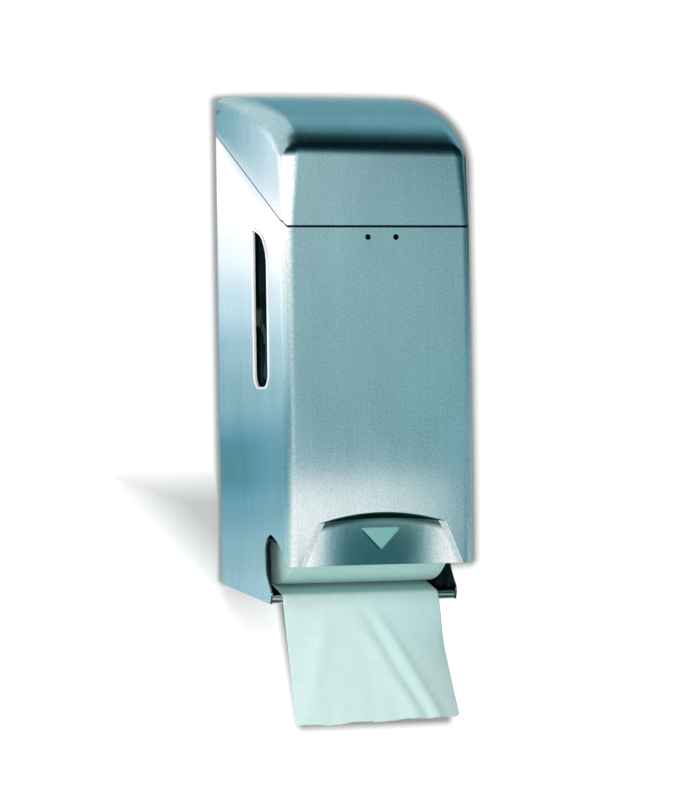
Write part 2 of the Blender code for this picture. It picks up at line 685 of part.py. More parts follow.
def make_body_shell():
    """Front and both sides, bent from one sheet."""
    path = rounded((
        (-HALF_WIDTH, SIDE_SETBACK, 0.0), (-HALF_WIDTH, CASE_DEPTH, CORNER_RADIUS),
        (HALF_WIDTH, CASE_DEPTH, CORNER_RADIUS), (HALF_WIDTH, SIDE_SETBACK, 0.0)))
    shell = thin_sheet(
        "body_shell", [(x, *place(out, -OVERRUN)) for x, out in path],
        Vector((0.0, 0.0, SEAM_REAR_HEIGHT + 2.0 * OVERRUN)), STEEL, STEEL_LOOK)
    pan = recess_solid("recess_pan", STEEL, -STEEL / 2.0)
    hollow = recess_solid("recess_hollow", 0.0, OVERRUN)
    behind = RECESS_FULL_DEPTH + STEEL + OVERRUN
    cut(hollow, arrow_solid("arrow", 0.0, behind, ARROW_FACE_DEPTH))
    cut(pan, arrow_solid("arrow_back", STEEL, behind, ARROW_FACE_DEPTH + STEEL))
    join(shell, pan)
    cut(shell, hollow)
    inner_limit = HALF_WIDTH - CUTOUT_SIDE_REACH
    front_cut = box("front_bottom_cut", (-inner_limit - STEEL, inner_limit + STEEL),
                    (CASE_DEPTH - RECESS_FULL_DEPTH - OVERRUN, CASE_DEPTH + OVERRUN),
                    (-2.0 * OVERRUN, FRONT_BOTTOM_HEIGHT), None, cutters)
    above = side_prism("above_seam", seam_outline(-SEAM_GAP / 2.0, True),
                       -HALF_WIDTH - OVERRUN, HALF_WIDTH + OVERRUN, None, cutters)
    cut(shell, front_cut, above)
    for side in (-1.0, 1.0):
        word = "left" if side < 0.0 else "right"
        span = sorted((side * inner_limit, side * (HALF_WIDTH + OVERRUN)))
        below = side_prism("below_side_" + word, bottom_outline(), *span, None, cutters)
        window = side_prism("window_" + word, window_outline(), *span, None, cutters)
        hole = pin("key_hole_" + word, KEY_HOLE_RADIUS, LOCK_SHIFT + side * KEY_HOLE_SPACING / 2.0,
                   (INNER_DEPTH - OVERRUN, CASE_DEPTH + OVERRUN),
                   SEAM_FRONT_HEIGHT - KEY_HOLE_DROP, None, cutters)
        cut(shell, below, window, hole)
    return shell


def recess_solid(name, wall, front_overrun):
    """The finger recess as a solid, grown by a wall; a leaning drum meets a cone."""
    arch_radius = (RECESS_HALF_WIDTH ** 2 + RECESS_ARCH_RISE ** 2) / (2.0 * RECESS_ARCH_RISE)
    cone_front = CASE_DEPTH + front_overrun
    cone_rear = CASE_DEPTH - RECESS_FULL_DEPTH - wall - OVERRUN
    grown = arch_radius + wall * math.sqrt(2.0)
    bpy.ops.mesh.primitive_cone_add(
        vertices=288, radius1=grown + (cone_rear - CASE_DEPTH),
        radius2=grown + (cone_front - CASE_DEPTH), depth=cone_front - cone_rear)
    cone = bpy.context.object
    cone.name = name
    cone.rotation_euler = (math.pi / 2.0, 0.0, 0.0)
    top = FRONT_BOTTOM_HEIGHT + RECESS_RISE
    cone.location = (0.0, *place((cone_front + cone_rear) / 2.0, top - arch_radius))
    finish(cone, None, cutters)
    above = 2.0 * RECESS_ARCH_RISE
    below = RECESS_END_HEIGHT - FRONT_BOTTOM_HEIGHT + OVERRUN
    bpy.ops.mesh.primitive_cylinder_add(
        vertices=288, radius=RECESS_FLOOR_RADIUS + wall, depth=above + below)
    drum = bpy.context.object
    drum.name = name + "_drum"
    drum.rotation_euler = (RECESS_LEAN, 0.0, 0.0)
    rise = (above - below) / 2.0
    drum.location = (0.0, *place(
        CASE_DEPTH - RECESS_DEPTH + RECESS_FLOOR_RADIUS * math.cos(RECESS_LEAN)
        + rise * math.sin(RECESS_LEAN),
        RECESS_END_HEIGHT - RECESS_FLOOR_RADIUS * math.sin(RECESS_LEAN)
        + rise * math.cos(RECESS_LEAN)))
    finish(drum, None, cutters)
    return combine(cone, drum, "INTERSECT")


def arrow_solid(name, inset, depth_low, depth_high):
    """Flat triangle that points down, raised in the recess."""
    shrink = inset / RECESS_DEPTH
    top = FRONT_BOTTOM_HEIGHT + ARROW_TOP_RISE
    tip = FRONT_BOTTOM_HEIGHT + ARROW_TIP_RISE
    middle = (2.0 * top + tip) / 3.0
    corners = []
    for x, height in ((-ARROW_HALF_WIDTH, top), (ARROW_HALF_WIDTH, top), (0.0, tip)):
        corners.append((x * (1.0 - shrink), middle + (height - middle) * (1.0 - shrink),
                        ARROW_CORNER_RADIUS))
    solid = front_prism(name, rounded(corners), CASE_DEPTH - depth_low, CASE_DEPTH - depth_high,
                        None, cutters)
    return soften(solid, ARROW_BEVEL * (1.0 - shrink))


def make_hood():
    """Curved hood, lofted along its side profile with edges whose radius changes."""
    fillet_steps = 6
    mesh = bpy.data.meshes.new("hood")
    work = bmesh.new()
    rows = []
    for out, height, angle, edge in hood_profile():
        row = []
        for side in (-1.0, 1.0):
            steps = range(fillet_steps + 1)
            for step in (reversed(steps) if side < 0.0 else steps):
                turn = math.pi / 2.0 * step / fillet_steps
                inward = edge * (1.0 - math.cos(turn))
                x = side * (HALF_WIDTH - edge * (1.0 - math.sin(turn)))
                row.append(work.verts.new((x, *place(out - inward * math.sin(angle),
                                                     height - inward * math.cos(angle)))))
        rows.append(row)
    for first, second in zip(rows, rows[1:]):
        for index in range(len(first) - 1):
            work.faces.new((first[index], first[index + 1], second[index + 1], second[index]))
    skirt = SEAM_FRONT_HEIGHT - HOOD_SKIRT_BELOW_SEAM
    for side, index in ((-1.0, 0), (1.0, -1)):
        foot = work.verts.new((side * HALF_WIDTH, *place(HOOD_REAR_SETBACK, skirt)))
        work.faces.new([row[index] for row in rows] + [foot])
    bmesh.ops.recalc_face_normals(work, faces=work.faces)
    work.faces.ensure_lookup_table()
    if work.faces[0].normal.z < 0.0:
        bmesh.ops.reverse_faces(work, faces=work.faces)
    work.to_mesh(mesh)
    work.free()
    hood = bpy.data.objects.new("hood", mesh)
    bpy.context.scene.collection.objects.link(hood)
    finish(hood, STEEL_LOOK)
    solid = hood.modifiers.new("thickness", "SOLIDIFY")
    solid.thickness = STEEL
    solid.offset = -1.0
    solid.use_even_offset = True
    reach = HALF_WIDTH + OVERRUN
    below = side_prism("below_seam", seam_outline(SEAM_GAP / 2.0, False), -reach, reach,
                       None, cutters)
    notch_height = HOOD_REAR_HEIGHT - NOTCH_DROP
    notch = [(-OVERRUN, notch_height - NOTCH_HALF_HEIGHT),
             (NOTCH_REACH, notch_height),
             (-OVERRUN, notch_height + NOTCH_HALF_HEIGHT)]
    cut(hood, below)
    for side in (-1.0, 1.0):
        word = "left" if side < 0.0 else "right"
        span = sorted((side * (INNER_HALF - OVERRUN), side * reach))
        cut(hood, side_prism("notch_" + word, notch, *span, None, cutters))
    return hood


def make_bottom_tray():
    """Floor under the rolls with a rear flange and a rolled lip at the front."""
    rear = STEEL + SEAT_GAP
    slope = math.atan2(SIDE_REAR_RISE, TIP_OUT)
    start = -math.pi / 2.0 - slope
    bend_height = side_floor_height(rear) + SEAT_GAP
    floor_start = on_circle(LIP_OUT, LIP_HEIGHT, LIP_RADIUS, start)
    path = rounded(((rear, TRAY_FLANGE_TOP_HEIGHT, 0.0), (rear, bend_height, TRAY_BEND_RADIUS),
                    (*floor_start, 0.0)))[:-1]
    steps = math.ceil(LIP_CURL / ARC_STEP)
    path += [on_circle(LIP_OUT, LIP_HEIGHT, LIP_RADIUS, start + LIP_CURL * step / steps)
             for step in range(steps + 1)]
    half = INNER_HALF - SEAT_GAP
    tray = thin_sheet("bottom_tray", [(-half, *place(*point)) for point in path],
                      Vector((2.0 * half, 0.0, 0.0)), -STEEL, BARE_LOOK)
    # the rear flange stands between the back plate's flanges
    for side in (-1.0, 1.0):
        word = "left" if side < 0.0 else "right"
        cut(tray, box("tray_corner_cut_" + word,
                      span(side * (half - FLANGE_BEND_RADIUS), side * (half + OVERRUN)),
                      (0.0, FLANGE_DEPTH + SEAT_GAP),
                      (PLATE_BOTTOM_HEIGHT - SEAT_GAP, TRAY_FLANGE_TOP_HEIGHT + OVERRUN),
                      None, cutters))
    return tray


# Roll guides, their screws and stops

def guide_layers(side):
    """Distances across the width of the guide's inner face, web and rim."""
    inner = ROLL_WIDTH / 2.0 + GUIDE_ROLL_GAP
    web = inner + GUIDE_PLATE
    rim = INNER_HALF - SEAT_GAP
    return side * inner, side * web, side * rim


def span(first, second):
    """Two places across the width in rising order."""
    return (min(first, second), max(first, second))


def guide_outline(inset):
    """Side-view outline of a roll guide, moved inwards by an inset."""
    step_height = CUTOUT_HEIGHT - GUIDE_STEP_DROP + inset
    step_out = CUTOUT_REAR_OUT - GUIDE_STEP_SETBACK - inset
    rear = GUIDE_REAR_OUT
    front = CASE_DEPTH - GUIDE_FRONT_SETBACK - inset
    floor_rise = STEEL + GUIDE_FLOOR_GAP + inset
    floor_rear = max(TRAY_FLANGE_TOP_HEIGHT, side_floor_height(rear) + floor_rise)
    toe = 4.0 * STEEL
    return [
        (rear, floor_rear + toe, 0.0),
        (rear + toe * 2.0, side_floor_height(rear) + floor_rise + toe / 2.0, 0.0),
        (step_out, side_floor_height(step_out) + floor_rise + toe / 2.0, GUIDE_CORNER_RADIUS),
        (step_out, step_height, GUIDE_CORNER_RADIUS),
        (front, step_height, GUIDE_CORNER_RADIUS),
        (front, seam_height(front) - GUIDE_SEAM_GAP, GUIDE_CORNER_RADIUS),
        (rear, seam_height(rear) - GUIDE_SEAM_GAP, 0.0),
    ]


def stop_pivot():
    """Place of the stop's pivot: forward of and below the reserve spindle."""
    return ROLL_OUT + STOP_PIVOT_OFFSET, RESERVE_ROLL_HEIGHT - STOP_PIVOT_OFFSET


def track_half_width():
    """Half the width of the track that the journals ride in."""
    return JOURNAL_RADIUS + TRACK_CLEARANCE


def make_roll_guide(side):
    """Moulded cheek with the spindle track, rails, rim, screw bosses and stop peg."""
    word = "left" if side < 0.0 else "right"
    inner, web, rim = guide_layers(side)
    guide = side_prism("roll_guide_" + word, rounded(guide_outline(0.0)), *span(inner, rim),
                       BLACK_LOOK)
    pocket_corners = guide_outline(GUIDE_RIM)
    low_rear = pocket_corners[0]
    high_rear = pocket_corners[-1]
    rise = 2.0 * CASE_DEPTH
    pocket_corners[0] = (-OVERRUN, low_rear[1] - OVERRUN, 0.0)
    front = pocket_corners[5]
    pocket_corners[5] = (front[0], front[1] + rise, 0.0)
    pocket_corners[-1] = (-OVERRUN, high_rear[1] + rise, 0.0)
    pocket = side_prism("guide_pocket_" + word, rounded(pocket_corners),
                        *span(web, rim + side * OVERRUN), None, cutters)
    cut(guide, pocket)
    half = track_half_width()
    for name, low, high in (("rear", -half - RAIL_WIDTH, -half), ("front", half, half + RAIL_WIDTH)):
        top = seam_height(ROLL_OUT + high) - 2.0 * GUIDE_SEAM_GAP
        rail = box("rail_%s_%s" % (name, word), span(inner - side * RAIL_HEIGHT, web),
                   (ROLL_OUT + low, ROLL_OUT + high), (LOWER_ROLL_HEIGHT, top), None, cutters)
        join(guide, rail)
    boss_end = rim - side * (STEEL + SEAT_GAP)
    cut(guide, box("flange_space_" + word, span(boss_end, rim + side * OVERRUN),
                   (-OVERRUN, FLANGE_DEPTH + SEAT_GAP),
                   (-OVERRUN, SEAM_REAR_HEIGHT), None, cutters))
    for index, height in enumerate(GUIDE_SCREW_HEIGHTS):
        boss = rod("guide_boss_%s_%d" % (word, index), GUIDE_BOSS_RADIUS, span(inner, boss_end),
                   GUIDE_SCREW_OUT, height, None, cutters)
        join(guide, boss)
        hole = rod("guide_hole_%s_%d" % (word, index), SCREW_RADIUS + SEAT_GAP,
                   span(inner - side * OVERRUN, rim + side * OVERRUN),
                   GUIDE_SCREW_OUT, height, None, cutters)
        cut(guide, hole)
    pivot_out, pivot_height = stop_pivot()
    beside = on_circle(pivot_out, pivot_height, STOP_PEG_DROP, -math.pi / 2.0 - STOP_TAIL_LEAN)
    peg_place = on_circle(*beside, STOP_ARM_HALF_WIDTH + SEAT_GAP + STOP_PEG_RADIUS,
                          -STOP_TAIL_LEAN)
    peg = rod("stop_peg_" + word, STOP_PEG_RADIUS,
              span(inner + side * GUIDE_PLATE / 2.0, web + side * (SEAT_GAP + STOP_THICKNESS)),
              *peg_place, None, cutters)
    join(guide, peg)
    reach = span(inner - side * OVERRUN, rim + side * OVERRUN)
    slot_bottom = rod("track_bottom_" + word, half, reach, ROLL_OUT, LOWER_ROLL_HEIGHT,
                      None, cutters)
    slot = box("track_" + word, reach, (ROLL_OUT - half, ROLL_OUT + half),
               (LOWER_ROLL_HEIGHT, SEAM_REAR_HEIGHT), None, cutters)
    pivot_hole = rod("stop_hole_" + word, PIVOT_RADIUS + SEAT_GAP, reach, pivot_out,
                     pivot_height, None, cutters)
    return cut(guide, slot_bottom, slot, pivot_hole)


def make_guide_screw(side, index, height):
    """Pan-head screw that holds a guide to the back plate's flange."""
    word = "left" if side < 0.0 else "right"
    inner, _, rim = guide_layers(side)
    face = inner - side * SEAT_GAP
    head = face - side * SCREW_HEAD_HEIGHT
    end = rim
    level = "lower" if index == 0 else "upper"
    screw = turned(
        "guide_screw_%s_%s" % (level, word),
        ordered((
            (head, 0.0), (head, SCREW_HEAD_RADIUS * 0.8),
            (head + side * SCREW_HEAD_HEIGHT * 0.35, SCREW_HEAD_RADIUS),
            (face, SCREW_HEAD_RADIUS), (face, SCREW_RADIUS),
            (end, SCREW_RADIUS), (end, 0.0)), side),
        GUIDE_SCREW_OUT, height, BARE_LOOK, 20)
    socket = rod("socket_%s_%s" % (level, word), SCREW_SOCKET_RADIUS,
                 span(head - side * OVERRUN, head + side * SCREW_SOCKET_DEPTH),
                 GUIDE_SCREW_OUT, height, None, cutters, 6)
    return cut(screw, socket)


def ordered(profile, side):
    """Profile in the order that makes a turned piece face outwards."""
    return list(profile)[::-1] if side > 0.0 else list(profile)


def make_stop(side):
    """Swinging stop: an arm under the reserve journal and a tail with a thumb pad."""
    word = "left" if side < 0.0 else "right"
    _, web, _ = guide_layers(side)
    low = web + side * SEAT_GAP
    high = low + side * STOP_THICKNESS
    layer = span(low, high)
    pivot_out, pivot_height = stop_pivot()
    arm_length = STOP_PIVOT_OFFSET * math.sqrt(2.0) - JOURNAL_RADIUS - SEAT_GAP
    stop = rod("reserve_stop_" + word, STOP_HUB_RADIUS, layer, pivot_out, pivot_height, BLACK_LOOK)
    tip_reach = arm_length - STOP_ARM_HALF_WIDTH
    pieces = (
        ("arm", 3.0 * math.pi / 4.0, tip_reach, STOP_ARM_HALF_WIDTH),
        ("tail", -math.pi / 2.0 - STOP_TAIL_LEAN, STOP_TAIL_LENGTH, STOP_PAD_RADIUS),
    )
    for name, angle, length, end_radius in pieces:
        end = on_circle(pivot_out, pivot_height, length, angle)
        across = (math.cos(angle + math.pi / 2.0), math.sin(angle + math.pi / 2.0))
        bar = []
        for base, sign in (((pivot_out, pivot_height), 1.0), (end, 1.0), (end, -1.0),
                           ((pivot_out, pivot_height), -1.0)):
            bar.append((base[0] + sign * across[0] * STOP_ARM_HALF_WIDTH,
                        base[1] + sign * across[1] * STOP_ARM_HALF_WIDTH))
        join(stop, side_prism("stop_%s_%s" % (name, word), bar, *layer, None, cutters),
             rod("stop_%s_end_%s" % (name, word), end_radius, layer, *end, None, cutters))
    reach = span(low - side * OVERRUN, high + side * OVERRUN)
    hole = rod("stop_bore_" + word, PIVOT_RADIUS + SEAT_GAP, reach, pivot_out, pivot_height,
               None, cutters)
    return cut(stop, hole)


def make_stop_pivot(side):
    """Headed pin that carries a stop on its guide."""
    word = "left" if side < 0.0 else "right"
    inner, web, _ = guide_layers(side)
    shoulder = web + side * (2.0 * SEAT_GAP + STOP_THICKNESS)
    tail = inner - side * SEAT_GAP
    return turned(
        "stop_pivot_" + word,
        ordered((
            (tail - side * PIVOT_HEAD, 0.0), (tail - side * PIVOT_HEAD, PIVOT_TAIL_RADIUS),
            (tail, PIVOT_TAIL_RADIUS), (tail, PIVOT_RADIUS), (shoulder, PIVOT_RADIUS),
            (shoulder, PIVOT_HEAD_RADIUS), (shoulder + side * PIVOT_HEAD / 2.0, PIVOT_HEAD_RADIUS),
            (shoulder + side * PIVOT_HEAD, PIVOT_HEAD_RADIUS * 0.8),
            (shoulder + side * PIVOT_HEAD, 0.0)), side),
        *stop_pivot(), BARE_LOOK, 24)


# Hinge

def knuckle_spans():
    """Each knuckle's limits across the width, from left to right."""
    pitch = HINGE_LENGTH / HINGE_KNUCKLES
    spans = []
    for index in range(HINGE_KNUCKLES):
        left = -HINGE_LENGTH / 2.0 + index * pitch
        spans.append((left + SEAT_GAP / 2.0, left + pitch - SEAT_GAP / 2.0))
    return spans


def make_hinge_leaf(name, plate, strap, spans):
    """Hinge leaf: a flat plate joined to its knuckles by straps."""
    leaf = side_prism(name, plate, -HINGE_LENGTH / 2.0, HINGE_LENGTH / 2.0, BARE_LOOK)
    for index, (low, high) in enumerate(spans):
        join(leaf, side_prism("%s_strap_%d" % (name, index), strap, low, high, None, cutters),
             rod("%s_knuckle_%d" % (name, index), HINGE_KNUCKLE_RADIUS, (low, high),
                 *hinge_axis(), None, cutters, 24))
    bore = rod(name + "_bore", HINGE_PIN_RADIUS + SEAT_GAP,
               (-HINGE_LENGTH / 2.0 - OVERRUN, HINGE_LENGTH / 2.0 + OVERRUN),
               *hinge_axis(), None, cutters, 24)
    return cut(leaf, bore)


def make_hinge():
    """Both leaves and the pin of the hood's hinge."""
    rear = STEEL + SEAT_GAP
    face = rear + HINGE_LEAF
    top = PLATE_TOP_HEIGHT
    case_plate = [(rear, top - HINGE_CASE_LEAF_HEIGHT), (face, top - HINGE_CASE_LEAF_HEIGHT),
                  (face, top), (rear, top)]
    lower = hinge_axis()[1] - HINGE_KNUCKLE_RADIUS
    case_strap = [(rear, top - HINGE_LEAF), (face, top - 2.0 * HINGE_LEAF),
                  (HINGE_OUT + HINGE_LEAF, lower + HINGE_LEAF / 2.0),
                  (HINGE_OUT - HINGE_LEAF, lower + HINGE_LEAF)]
    spans = knuckle_spans()
    case_leaf = make_hinge_leaf("hinge_leaf_case", case_plate, case_strap, spans[0::2])
    start = HINGE_OUT + HINGE_KNUCKLE_RADIUS + 2.0 * SEAT_GAP
    end = start + HINGE_HOOD_LEAF_DEPTH
    hood_plate = []
    for out, drop in ((start, 0.0), (end, 0.0), (end, HINGE_LEAF), (start, HINGE_LEAF)):
        hood_plate.append((out, hood_inner_height(out) - SEAT_GAP - drop))
    top_out = HINGE_OUT + HINGE_LEAF
    hood_strap = [(top_out, hood_plate[0][1]), hood_plate[0],
                  (start + HINGE_LEAF, hood_plate[3][1]),
                  (top_out, hood_plate[3][1])]
    hood_leaf = make_hinge_leaf("hinge_leaf_hood", hood_plate, hood_strap, spans[1::2])
    half = HINGE_LENGTH / 2.0 + SEAT_GAP
    hinge_pin = turned(
        "hinge_pin",
        [(half + HINGE_PIN_HEAD, 0.0), (half + HINGE_PIN_HEAD, HINGE_PIN_HEAD_RADIUS),
         (half, HINGE_PIN_HEAD_RADIUS), (half, HINGE_PIN_RADIUS), (-half, HINGE_PIN_RADIUS),
         (-half, HINGE_PIN_HEAD_RADIUS), (-half - HINGE_PIN_HEAD, HINGE_PIN_HEAD_RADIUS),
         (-half - HINGE_PIN_HEAD, 0.0)],
        *hinge_axis(), BARE_LOOK, 20)
    return case_leaf, hood_leaf, hinge_pin


def hinge_axis():
    """Place of the hood's hinge, with its knuckles just under the hood."""
    return HINGE_OUT, hood_inner_height(HINGE_OUT) - HINGE_KNUCKLE_RADIUS - SEAT_GAP


def hood_inner_height(out):
    """Height of the hood's inner face near the hinge."""
    fall = HOOD_TOP_RADIUS * (math.cos(HOOD_REAR_ANGLE) - math.sqrt(
        1.0 - (out / HOOD_TOP_RADIUS + math.sin(HOOD_REAR_ANGLE)) ** 2))
    return HOOD_REAR_HEIGHT - fall - STEEL


# Latch

def make_latch():
    """Spring leaf on the hood, the studs and nuts that hold it, and the keeper."""
    seat = INNER_DEPTH - SEAT_GAP
    rear_seat = seat - LATCH_SPRING
    leaf_rear = LATCH_LEAF_OUT - LATCH_SPRING
    bend = 2.0 * LATCH_SPRING
    leaf = side_prism("latch_leaf", rounded((
        (seat, LATCH_TOP_HEIGHT, 0.0), (seat, LATCH_ROOT_HEIGHT, bend),
        (LATCH_LEAF_OUT, LATCH_KNEE_HEIGHT, bend), (LATCH_LEAF_OUT, LATCH_BOTTOM_HEIGHT, 0.0),
        (leaf_rear, LATCH_BOTTOM_HEIGHT, 0.0), (leaf_rear, LATCH_KNEE_HEIGHT + LATCH_SPRING / 2.0, bend),
        (rear_seat, LATCH_ROOT_HEIGHT + LATCH_SPRING / 2.0, bend), (rear_seat, LATCH_TOP_HEIGHT, 0.0))),
        LOCK_SHIFT - LATCH_HALF_WIDTH, LOCK_SHIFT + LATCH_HALF_WIDTH, SPRING_LOOK)
    nose_top = KEEPER_UNDERSIDE_HEIGHT - SEAT_GAP
    nose_out = LATCH_LEAF_OUT + LATCH_NOSE_REACH
    root = LATCH_LEAF_OUT - LATCH_SPRING / 2.0
    nose = [(root, nose_top), (nose_out, nose_top), (nose_out, nose_top - LATCH_NOSE_TIP),
            (root, nose_top - LATCH_NOSE_DEPTH)]
    join(leaf, side_prism("latch_nose", nose, LOCK_SHIFT - LATCH_NOSE_HALF_WIDTH,
                          LOCK_SHIFT + LATCH_NOSE_HALF_WIDTH, None, cutters))
    fixings = []
    for side in (-1.0, 1.0):
        word = "left" if side < 0.0 else "right"
        x = LOCK_SHIFT + side * STUD_SPACING / 2.0
        cut(leaf, pin("stud_hole_" + word, STUD_RADIUS + SEAT_GAP, x,
                      (rear_seat - OVERRUN, seat + OVERRUN), STUD_HEIGHT, None, cutters, 20))
        stud = pin("latch_stud_" + word, STUD_RADIUS, x, (seat - STUD_LENGTH, seat),
                   STUD_HEIGHT, BARE_LOOK, parts, 20)
        nut_front = rear_seat - SEAT_GAP
        nut = pin("latch_nut_" + word, NUT_RADIUS, x, (nut_front - NUT_THICKNESS, nut_front),
                  STUD_HEIGHT, BARE_LOOK, parts, 6)
        cut(nut, pin("nut_bore_" + word, STUD_RADIUS + SEAT_GAP, x,
                     (nut_front - NUT_THICKNESS - OVERRUN, nut_front + OVERRUN),
                     STUD_HEIGHT, None, cutters, 20))
        fixings += [stud, nut]
    ledge_rear = seat - KEEPER_LEDGE_REACH
    keeper = side_prism("latch_keeper", [
        (seat, KEEPER_BOTTOM_HEIGHT), (seat, KEEPER_UNDERSIDE_HEIGHT + STEEL),
        (ledge_rear, KEEPER_UNDERSIDE_HEIGHT + STEEL), (ledge_rear, KEEPER_UNDERSIDE_HEIGHT),
        (seat - STEEL, KEEPER_UNDERSIDE_HEIGHT), (seat - STEEL, KEEPER_BOTTOM_HEIGHT)],
        LOCK_SHIFT - KEEPER_HALF_WIDTH, LOCK_SHIFT + KEEPER_HALF_WIDTH, BARE_LOOK)
    return leaf, fixings, keeper


# Rolls and paper

def make_roll(word, height):
    """One roll: spindle, cardboard core and wound paper on a common axis."""
    half = ROLL_WIDTH / 2.0
    core_inner = CORE_OUTER_RADIUS - CORE_WALL
    hub = core_inner - SEAT_GAP
    end = INNER_HALF - JOURNAL_SIDE_GAP
    hub_end = half - STEEL / 2.0
    right = [
        (end, 0.0), (end, JOURNAL_RADIUS - JOURNAL_CHAMFER), (end - JOURNAL_CHAMFER, JOURNAL_RADIUS),
        (hub_end, JOURNAL_RADIUS), (hub_end, hub - JOURNAL_CHAMFER),
        (hub_end - JOURNAL_CHAMFER, hub),
        (hub_end - SPINDLE_HUB_LENGTH, hub), (hub_end - SPINDLE_HUB_LENGTH, SPINDLE_SHAFT_RADIUS)]
    left = [(-x, radius) for x, radius in reversed(right)]
    spindle = turned(word + "_spindle", right + left, ROLL_OUT, height, BLACK_LOOK, 36)
    pieces = [spindle]
    for name, inner, outer, look, sides in (
            ("_core", core_inner, CORE_OUTER_RADIUS, CARD_LOOK, 40),
            ("_paper_roll", CORE_OUTER_RADIUS + SEAT_GAP, ROLL_RADIUS, PAPER_LOOK, 72)):
        ring = [(half, inner), (half, outer), (-half, outer), (-half, inner)]
        pieces.append(turned(word + name, ring, ROLL_OUT, height, look, sides, True))
    return pieces


def paper_path():
    """Middle line of the paper in the side view.

    Each point is (out, height, normal angle, share of the run to the lip, share of
    the drop below the lip).
    """
    roll_reach = ROLL_RADIUS + SEAT_GAP + PAPER / 2.0
    lip_reach = LIP_RADIUS + SEAT_GAP + PAPER / 2.0
    across = LIP_OUT - ROLL_OUT
    down = LIP_HEIGHT - LOWER_ROLL_HEIGHT
    distance = math.hypot(across, down)
    run_angle = math.atan2(down, across) + math.asin((roll_reach + lip_reach) / distance)
    normal = run_angle + math.pi / 2.0
    start = on_circle(ROLL_OUT, LOWER_ROLL_HEIGHT, roll_reach, normal - math.pi)
    over = on_circle(LIP_OUT, LIP_HEIGHT, lip_reach, normal)
    points = []
    run_steps = 6
    for step in range(run_steps):
        t = step / run_steps
        points.append((start[0] + (over[0] - start[0]) * t, start[1] + (over[1] - start[1]) * t,
                       normal, t, 0.0))
    wrap_steps = 6
    for step in range(wrap_steps):
        angle = normal + (PAPER_LEAN - normal) * step / wrap_steps
        points.append((*on_circle(LIP_OUT, LIP_HEIGHT, lip_reach, angle), angle, 1.0, 0.0))
    crest = on_circle(LIP_OUT, LIP_HEIGHT, lip_reach, PAPER_LEAN)
    hang_steps = 18
    for step in range(hang_steps + 1):
        t = step / hang_steps
        length = PAPER_DROP * t
        points.append((crest[0] + length * math.sin(PAPER_LEAN),
                       crest[1] - length * math.cos(PAPER_LEAN), PAPER_LEAN, 1.0, t))
    return points


def fold_depth(across, down):
    """Depth of the paper's soft folds; across and down run from 0 to 1."""
    slant = across - 0.32 * down
    folds = (
        0.55 * math.exp(-((slant - 0.42) / 0.07) ** 2)
        + 0.85 * math.exp(-((slant - 0.53) / 0.05) ** 2)
        - 0.55 * math.exp(-((slant - 0.475) / 0.05) ** 2)
        + 0.40 * math.exp(-((across + 0.25 * down - 0.30) / 0.06) ** 2)
        + 0.25 * math.sin(3.0 * math.pi * across) * down
    )
    return PAPER_FOLD_DEPTH * folds * down ** 1.2


def make_paper_sheet():
    """Free end of the paper: from under the roll, over the lip and down."""
    columns = 18
    mesh = bpy.data.meshes.new("paper_sheet")
    work = bmesh.new()
    rows = []
    for out, height, normal, run, down in paper_path():
        row = []
        for column in range(columns + 1):
            across = column / columns
            depth = fold_depth(across, down)
            ripple = math.sin(7.0 * math.pi * across) + 0.6 * math.sin(17.0 * across + 1.0)
            torn = PAPER_TORN_DEPTH * ripple * down ** 8
            lift = PAPER_EDGE_RISE * across * down + torn
            x = ROLL_WIDTH * (across - 0.5) * (1.0 + PAPER_FLARE_SHARE * down)
            x += math.tan(PAPER_SKEW) * PAPER_DROP * down - PAPER_SHIFT * run
            row.append(work.verts.new((x, *place(
                out + depth * math.cos(normal) - lift * math.sin(PAPER_LEAN),
                height + depth * math.sin(normal) + lift))))
        rows.append(row)
    for first, second in zip(rows, rows[1:]):
        for index in range(columns):
            work.faces.new((first[index], second[index], second[index + 1], first[index + 1]))
    work.to_mesh(mesh)
    work.free()
    sheet = bpy.data.objects.new("paper_sheet", mesh)
    bpy.context.scene.collection.objects.link(sheet)
    finish(sheet, PAPER_LOOK)
    solid = sheet.modifiers.new("thickness", "SOLIDIFY")
    solid.thickness = PAPER
    solid.offset = 0.0
    return sheet


def main():
    """Build every piece and hang the moving ones on their axes."""
    clear_scene()
    make_back_plate()
    make_body_shell()
    make_bottom_tray()
    hood = make_hood()
    _, hood_leaf, _ = make_hinge()
    leaf, fixings, _ = make_latch()
    for side in (-1.0, 1.0):
        word = "left" if side < 0.0 else "right"
        make_roll_guide(side)
        for index, height in enumerate(GUIDE_SCREW_HEIGHTS):
            make_guide_screw(side, index, height)
        make_stop_pivot(side)
        carry("stop_axis_" + word, [make_stop(side)], 0.0, *stop_pivot())
    carry("lower_roll_axis", make_roll("lower", LOWER_ROLL_HEIGHT), 0.0, ROLL_OUT,
          LOWER_ROLL_HEIGHT)
    carry("reserve_roll_axis", make_roll("reserve", RESERVE_ROLL_HEIGHT), 0.0, ROLL_OUT,
          RESERVE_ROLL_HEIGHT)
    make_paper_sheet()
    carry("latch_axis", [leaf], 0.0, INNER_DEPTH - SEAT_GAP, LATCH_ROOT_HEIGHT)
    carry("hood_axis", [hood, hood_leaf, *fixings], 0.0, *hinge_axis())


main()
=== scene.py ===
"""Looks of an upright dispenser for two rolls of toilet paper, in brushed steel."""

import json
import logging
import math
from collections.abc import Callable, Iterable
from dataclasses import dataclass
from enum import Enum
from functools import reduce

import bmesh
import bpy
from mathutils import Matrix, Vector

